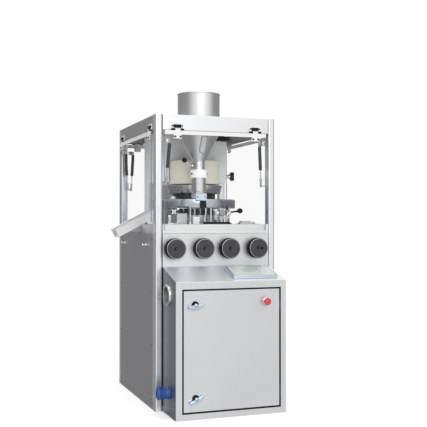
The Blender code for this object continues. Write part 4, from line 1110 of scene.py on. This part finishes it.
ex, ez = 0.198, 0.615
bm = lathe_bm([(0.0130, 0.0088), (0.0165, 0.0088), (0.0180, 0.0078), (0.0185, 0.0060),
               (0.0185, 0.0030), (0.0200, 0.0022), (0.0206, 0.0010), (0.0206, -0.0010),
               (0.0130, -0.0010)], (ex, -0.681, ez), xturn, 64, ring=True)
add("stop_collar", bm, "chrome", body="cabinet_door", smooth=40)
bm = lathe_bm([(0, 0.0355), (0.0070, 0.0352), (0.0125, 0.0340), (0.0170, 0.0315), (0.0192, 0.0285),
               (0.0200, 0.0255), (0.0196, 0.0222), (0.0180, 0.0205), (0.0120, 0.0195),
               (0.0120, 0.0070), (0, 0.0070)], (ex, -0.681, ez), xturn, 64)
add("stop_mushroom", bm, "red_plastic", body="emergency_stop", replaces="emergency_stop_button",
    smooth=45)

# vent port on the left side
vx, vy, vz = -0.318, -0.538, 0.650
yturn = spin("Y", -90)    # profile +Z becomes -X
bm = lathe_bm([(0.0452, 0.0010), (0.0452, 0.0105), (0.0480, 0.0128), (0.0540, 0.0132),
               (0.0585, 0.0112), (0.0600, 0.0070), (0.0603, 0.0002), (0.0452, 0.0002)],
              (vx, vy, vz), yturn, 96, ring=True)
add("vent_bezel", bm, "chrome", smooth=50)
add("vent_lens", lathe_bm([(0, 0.0050), (0.0300, 0.0044), (0.0450, 0.0024), (0.0450, -0.0060),
                           (0, -0.0060)], (vx, vy, vz), yturn, 64), "screen_dark", smooth=50)
bm = None
for i in range(6):
    t = (30 + 60 * i) * D2R
    bm = socket_screw((vx - 0.0128, vy + 0.0525 * math.cos(t), vz + 0.0525 * math.sin(t)),
                      (-1, 0, 0), 0.0030, 0.0016, bm)
add("vent_screws", bm, "steel_dark")

# power inlet
iy, iz = -0.555, 0.126
bm = lathe_bm([(0, 0.0095), (0.0300, 0.0095), (0.0335, 0.0080), (0.0345, 0.0050), (0.0345, 0.0002),
               (0, 0.0002)], (-0.3185, iy, iz), yturn, 64)
bm = lathe_bm([(0.0150, 0.0665), (0.0305, 0.0665), (0.0340, 0.0650), (0.0350, 0.0620),
               (0.0350, 0.0560), (0.0342, 0.0535), (0.0322, 0.0515), (0.0315, 0.0480),
               (0.0305, 0.0250), (0.0312, 0.0110), (0.0325, 0.0090), (0.0150, 0.0090)],
              (-0.3185, iy, iz), yturn, 64, ring=True, bm=bm)
bm = cube_bm((-0.3835, iy - 0.012, iz + 0.0290), (-0.3560, iy + 0.012, iz + 0.0400), 0.004, bm=bm)
add("inlet_housing", bm, "blue_plastic", replaces="power_inlet", smooth=40)
bm = lathe_bm([(0, 0.0600), (0.0290, 0.0600), (0.0300, 0.0590), (0.0300, 0.0560), (0, 0.0560)],
              (-0.3185, iy, iz), yturn, 48)
add("inlet_face", bm, "grey_plastic", smooth=40)
bm = None
for dy, dz in ((-1, -1), (-1, 1), (1, -1), (1, 1)):
    bm = socket_screw((-0.3278, iy + dy * 0.0205, iz + dz * 0.0205), (-1, 0, 0), 0.0028, 0.0020, bm)
add("inlet_screws", bm, "steel_dark")

# operator panel on the slope
sl = 0.068 / 0.2445
rise = math.atan(sl)


def top_at(y):
    return 0.729 + (y + 0.682) * sl


slope_m = Matrix.Translation((0.15, -0.5815, top_at(-0.5815))) @ Matrix.Rotation(rise, 4, "X")
half = 0.1470 / 2 / math.cos(rise)
bm = cube_bm((-0.130, -half + 0.002, 0.0008), (0.130, half - 0.002, 0.0205), 0.0035, steps=3,
             mtx=slope_m)
add("operator_box", bm, "operator_grey", replaces="operator_panel", smooth=35)
bm = plate_bm(rrect(0.0, 0.002, 0.240, 0.128, 0.005, 5), 0.0203, 0.0212, "XY", mtx=slope_m)
add("operator_membrane", bm, "membrane", bevel=0.0003)
bm = plate_bm(rrect(-0.022, 0.020, 0.150, 0.070, 0.003, 4), 0.0210, 0.0216, "XY", mtx=slope_m)
add("display_glass", bm, "screen_green")
bm = None
for i in range(6):
    bm = plate_bm(rrect(-0.085 + 0.034 * i, -0.039, 0.024, 0.018, 0.004, 4), 0.0210, 0.0219, "XY",
                  bm=bm, mtx=slope_m)
for i in range(3):
    bm = plate_bm(rrect(0.086, -0.006 + 0.024 * i, 0.024, 0.016, 0.004, 4), 0.0210, 0.0219, "XY",
                  bm=bm, mtx=slope_m)
add("membrane_keys", bm, "membrane_key", bevel=0.0003)
bm = plate_bm([(-0.3170, -0.1250), (0.3170, -0.1250), (0.3170, 0.1250), (-0.3170, 0.1250)],
              0.0002, 0.0006, "XY",
              mtx=Matrix.Translation((0, -0.5598, top_at(-0.5598))) @ Matrix.Rotation(rise, 4, "X"))
add("slope_skin", bm, "steel_slope")

# round hem along the slope's front edge, in the brighter header steel as a painted highlight line
bm = rod_bm((-0.3160, -0.6790, 0.7270), (0.3160, -0.6790, 0.7270), 0.0034, sides=24)
add("slope_front_highlight_hem", bm, "header_satin")
# electrical mounting plate inside the cabinet
add("mounting_plate", cube_bm((-0.285, -0.4540, 0.040), (0.285, -0.4510, 0.680)), "plate_orange",
    bevel=0.0006)
bm = None
for z in (0.170, 0.330, 0.490, 0.640):
    bm = cube_bm((-0.270, -0.4900, z - 0.016), (0.270, -0.4545, z + 0.016), 0.0010, bm=bm, steps=1)
for x in (-0.268, 0.268):
    bm = cube_bm((x - 0.012, -0.4895, 0.050), (x + 0.012, -0.4545, 0.665), 0.0010, bm=bm, steps=1)
add("wiring_ducts", bm, "grey_plastic", bevel=0.0)
bm = None
for z in (0.250, 0.410, 0.565):
    bm = cube_bm((-0.240, -0.4590, z - 0.0175), (0.240, -0.4542, z + 0.0175), bm=bm)
add("din_rails", bm, "zinc", bevel=0.0004)
bm = None
blk = None
x = -0.235
for i in range(11):
    bm = cube_bm((x, -0.5180, 0.568 - 0.040), (x + 0.0172, -0.4600, 0.568 + 0.040), 0.0012, bm=bm,
                 steps=2)
    blk = cube_bm((x + 0.0045, -0.5260, 0.566), (x + 0.0127, -0.5175, 0.582), 0.0008, bm=blk, steps=1)
    x += 0.018
x = 0.010
for i in range(4):
    bm = cube_bm((x, -0.5350, 0.410 - 0.038), (x + 0.0440, -0.4600, 0.410 + 0.038), 0.0020, bm=bm,
                 steps=2)
    blk = cube_bm((x + 0.010, -0.5420, 0.402), (x + 0.034, -0.5345, 0.424), 0.0010, bm=blk, steps=1)
    x += 0.052
for i in range(28):
    x = -0.235 + i * 0.0068
    bm = cube_bm((x, -0.5000, 0.250 - 0.022), (x + 0.0056, -0.4600, 0.250 + 0.022), 0.0005, bm=bm,
                 steps=1)
add("breakers_and_terminals", bm, "pale_plastic")
add("switch_toggles", blk, "black_plastic")
bm = cube_bm((-0.235, -0.5900, 0.350), (-0.060, -0.4545, 0.470), 0.0040, steps=3)
add("motor_drive_unit", bm, "grey_plastic")
bm = cube_bm((-0.205, -0.5912, 0.425), (-0.120, -0.5898, 0.455), 0.0010, steps=1)
add("motor_drive_display", bm, "screen_dark")
bm = cube_bm((0.040, -0.5600, 0.205), (0.150, -0.4545, 0.300), 0.0030)
add("power_supply", bm, "zinc")
bm = None
for i in range(14):
    x = -0.22 + i * 0.033
    z0, z1 = (0.272, 0.316) if i % 2 else (0.228, 0.186)
    bm = tube_bm([(x, -0.4800, z0), (x + 0.001, -0.4860, (z0 * 2 + z1) / 3),
                  (x + 0.002, -0.4850, (z0 + 2 * z1) / 3), (x + 0.003, -0.4780, z1)], 0.0014, 6,
                 bm=bm)
add("panel_wires", bm, "wire_red", smooth=60)

# ------------------------------------------------------------------ stage and light
FRONT, BACK, UPPER = 0.72, 0.26, 0.88
bm = bmesh.new()
bmesh.ops.create_grid(bm, x_segments=1, y_segments=1, size=30.0)
bmesh.ops.translate(bm, vec=(0, 0, -0.0006), verts=bm.verts)
me = bpy.data.meshes.new("floor")
bm.to_mesh(me)
bm.free()
floor = bpy.data.objects.new("floor", me)
bpy.context.scene.collection.objects.link(floor)
m, nt, p = _nodes("floor_white")
nt.links.new(_mix(nt, _range(nt, _noise(nt, 1.2, 2.0), 0.0, 1.0), (0.90, 0.90, 0.90),
                  (0.88, 0.88, 0.885)), p.inputs["Base Color"])
p.inputs["Roughness"].default_value = 0.85
p.inputs["Specular IOR Level"].default_value = 0.1
p.inputs["Emission Color"].default_value = (1.0, 1.0, 1.0, 1.0)
p.inputs["Emission Strength"].default_value = 0.30
me.materials.append(m)

# a white backdrop far behind everything, seen by the eye but not by the metal
bm = bmesh.new()
bmesh.ops.create_uvsphere(bm, u_segments=48, v_segments=24, radius=38.0)
bmesh.ops.reverse_faces(bm, faces=bm.faces)
me = bpy.data.meshes.new("backdrop")
bm.to_mesh(me)
bm.free()
me.shade_smooth()
backdrop = bpy.data.objects.new("backdrop", me)
bpy.context.scene.collection.objects.link(backdrop)
m = bpy.data.materials.new("backdrop_white")
m.use_nodes = True
nt = m.node_tree
nt.nodes.clear()
em = nt.nodes.new("ShaderNodeEmission")
outn = nt.nodes.new("ShaderNodeOutputMaterial")
em.inputs["Color"].default_value = (1.0, 1.0, 1.0, 1.0)
em.inputs["Strength"].default_value = 1.0
nt.links.new(em.outputs["Emission"], outn.inputs["Surface"])
me.materials.append(m)
backdrop.visible_diffuse = False
backdrop.visible_glossy = False
backdrop.visible_shadow = False
backdrop.visible_volume_scatter = False
floor.visible_glossy = False

# a soft tent: bright in front and overhead, dim at the sides and behind
world = bpy.data.worlds.new("studio")
bpy.context.scene.world = world
world.use_nodes = True
nt = world.node_tree
bg = nt.nodes["Background"]
tc = nt.nodes.new("ShaderNodeTexCoord")


def toward(direction, a, b, lo, hi):
    d = nt.nodes.new("ShaderNodeVectorMath")
    d.operation = "DOT_PRODUCT"
    v = Vector(direction).normalized()
    d.inputs[1].default_value = v
    nt.links.new(tc.outputs["Generated"], d.inputs[0])
    r = nt.nodes.new("ShaderNodeMapRange")
    r.interpolation_type = "SMOOTHSTEP"
    r.inputs["From Min"].default_value = lo
    r.inputs["From Max"].default_value = hi
    r.inputs["To Min"].default_value = a
    r.inputs["To Max"].default_value = b
    nt.links.new(d.outputs["Value"], r.inputs["Value"])
    return r.outputs["Result"]


def plus(a, b):
    n = nt.nodes.new("ShaderNodeMath")
    n.operation = "ADD"
    nt.links.new(a, n.inputs[0])
    nt.links.new(b, n.inputs[1])
    return n.outputs[0]


level = plus(toward((-0.08, -1.0, 0.0), 0.0, FRONT, 0.22, 0.94),
             toward((0.0, 0.0, 1.0), BACK, UPPER, 0.02, 0.75))
ramp = nt.nodes.new("ShaderNodeCombineColor")
for k in range(3):
    nt.links.new(level, ramp.inputs[k])
nt.links.new(ramp.outputs[0], bg.inputs["Color"])
bg.inputs["Strength"].default_value = 1.0


def light(name, at, aim, size, power, color=(1, 1, 1), size_y=None):
    data = bpy.data.lights.new(name, "AREA")
    data.shape = "RECTANGLE"
    data.size = size
    data.size_y = size_y or size
    data.energy = power
    data.color = color
    ob = bpy.data.objects.new(name, data)
    ob.location = at
    ob.rotation_euler = (Vector(aim) - Vector(at)).to_track_quat("-Z", "Y").to_euler()
    bpy.context.scene.collection.objects.link(ob)
    return ob


light("key", (-0.6, -5.6, 2.9), (0, -0.3, 0.9), 2.2, 40)
light("top", (0.0, 0.2, 4.2), (0, 0, 1.2), 2.6, 40)

scene = bpy.context.scene
scene.view_settings.view_transform = "Standard"
scene.view_settings.look = "None"
scene.view_settings.exposure = 0.0
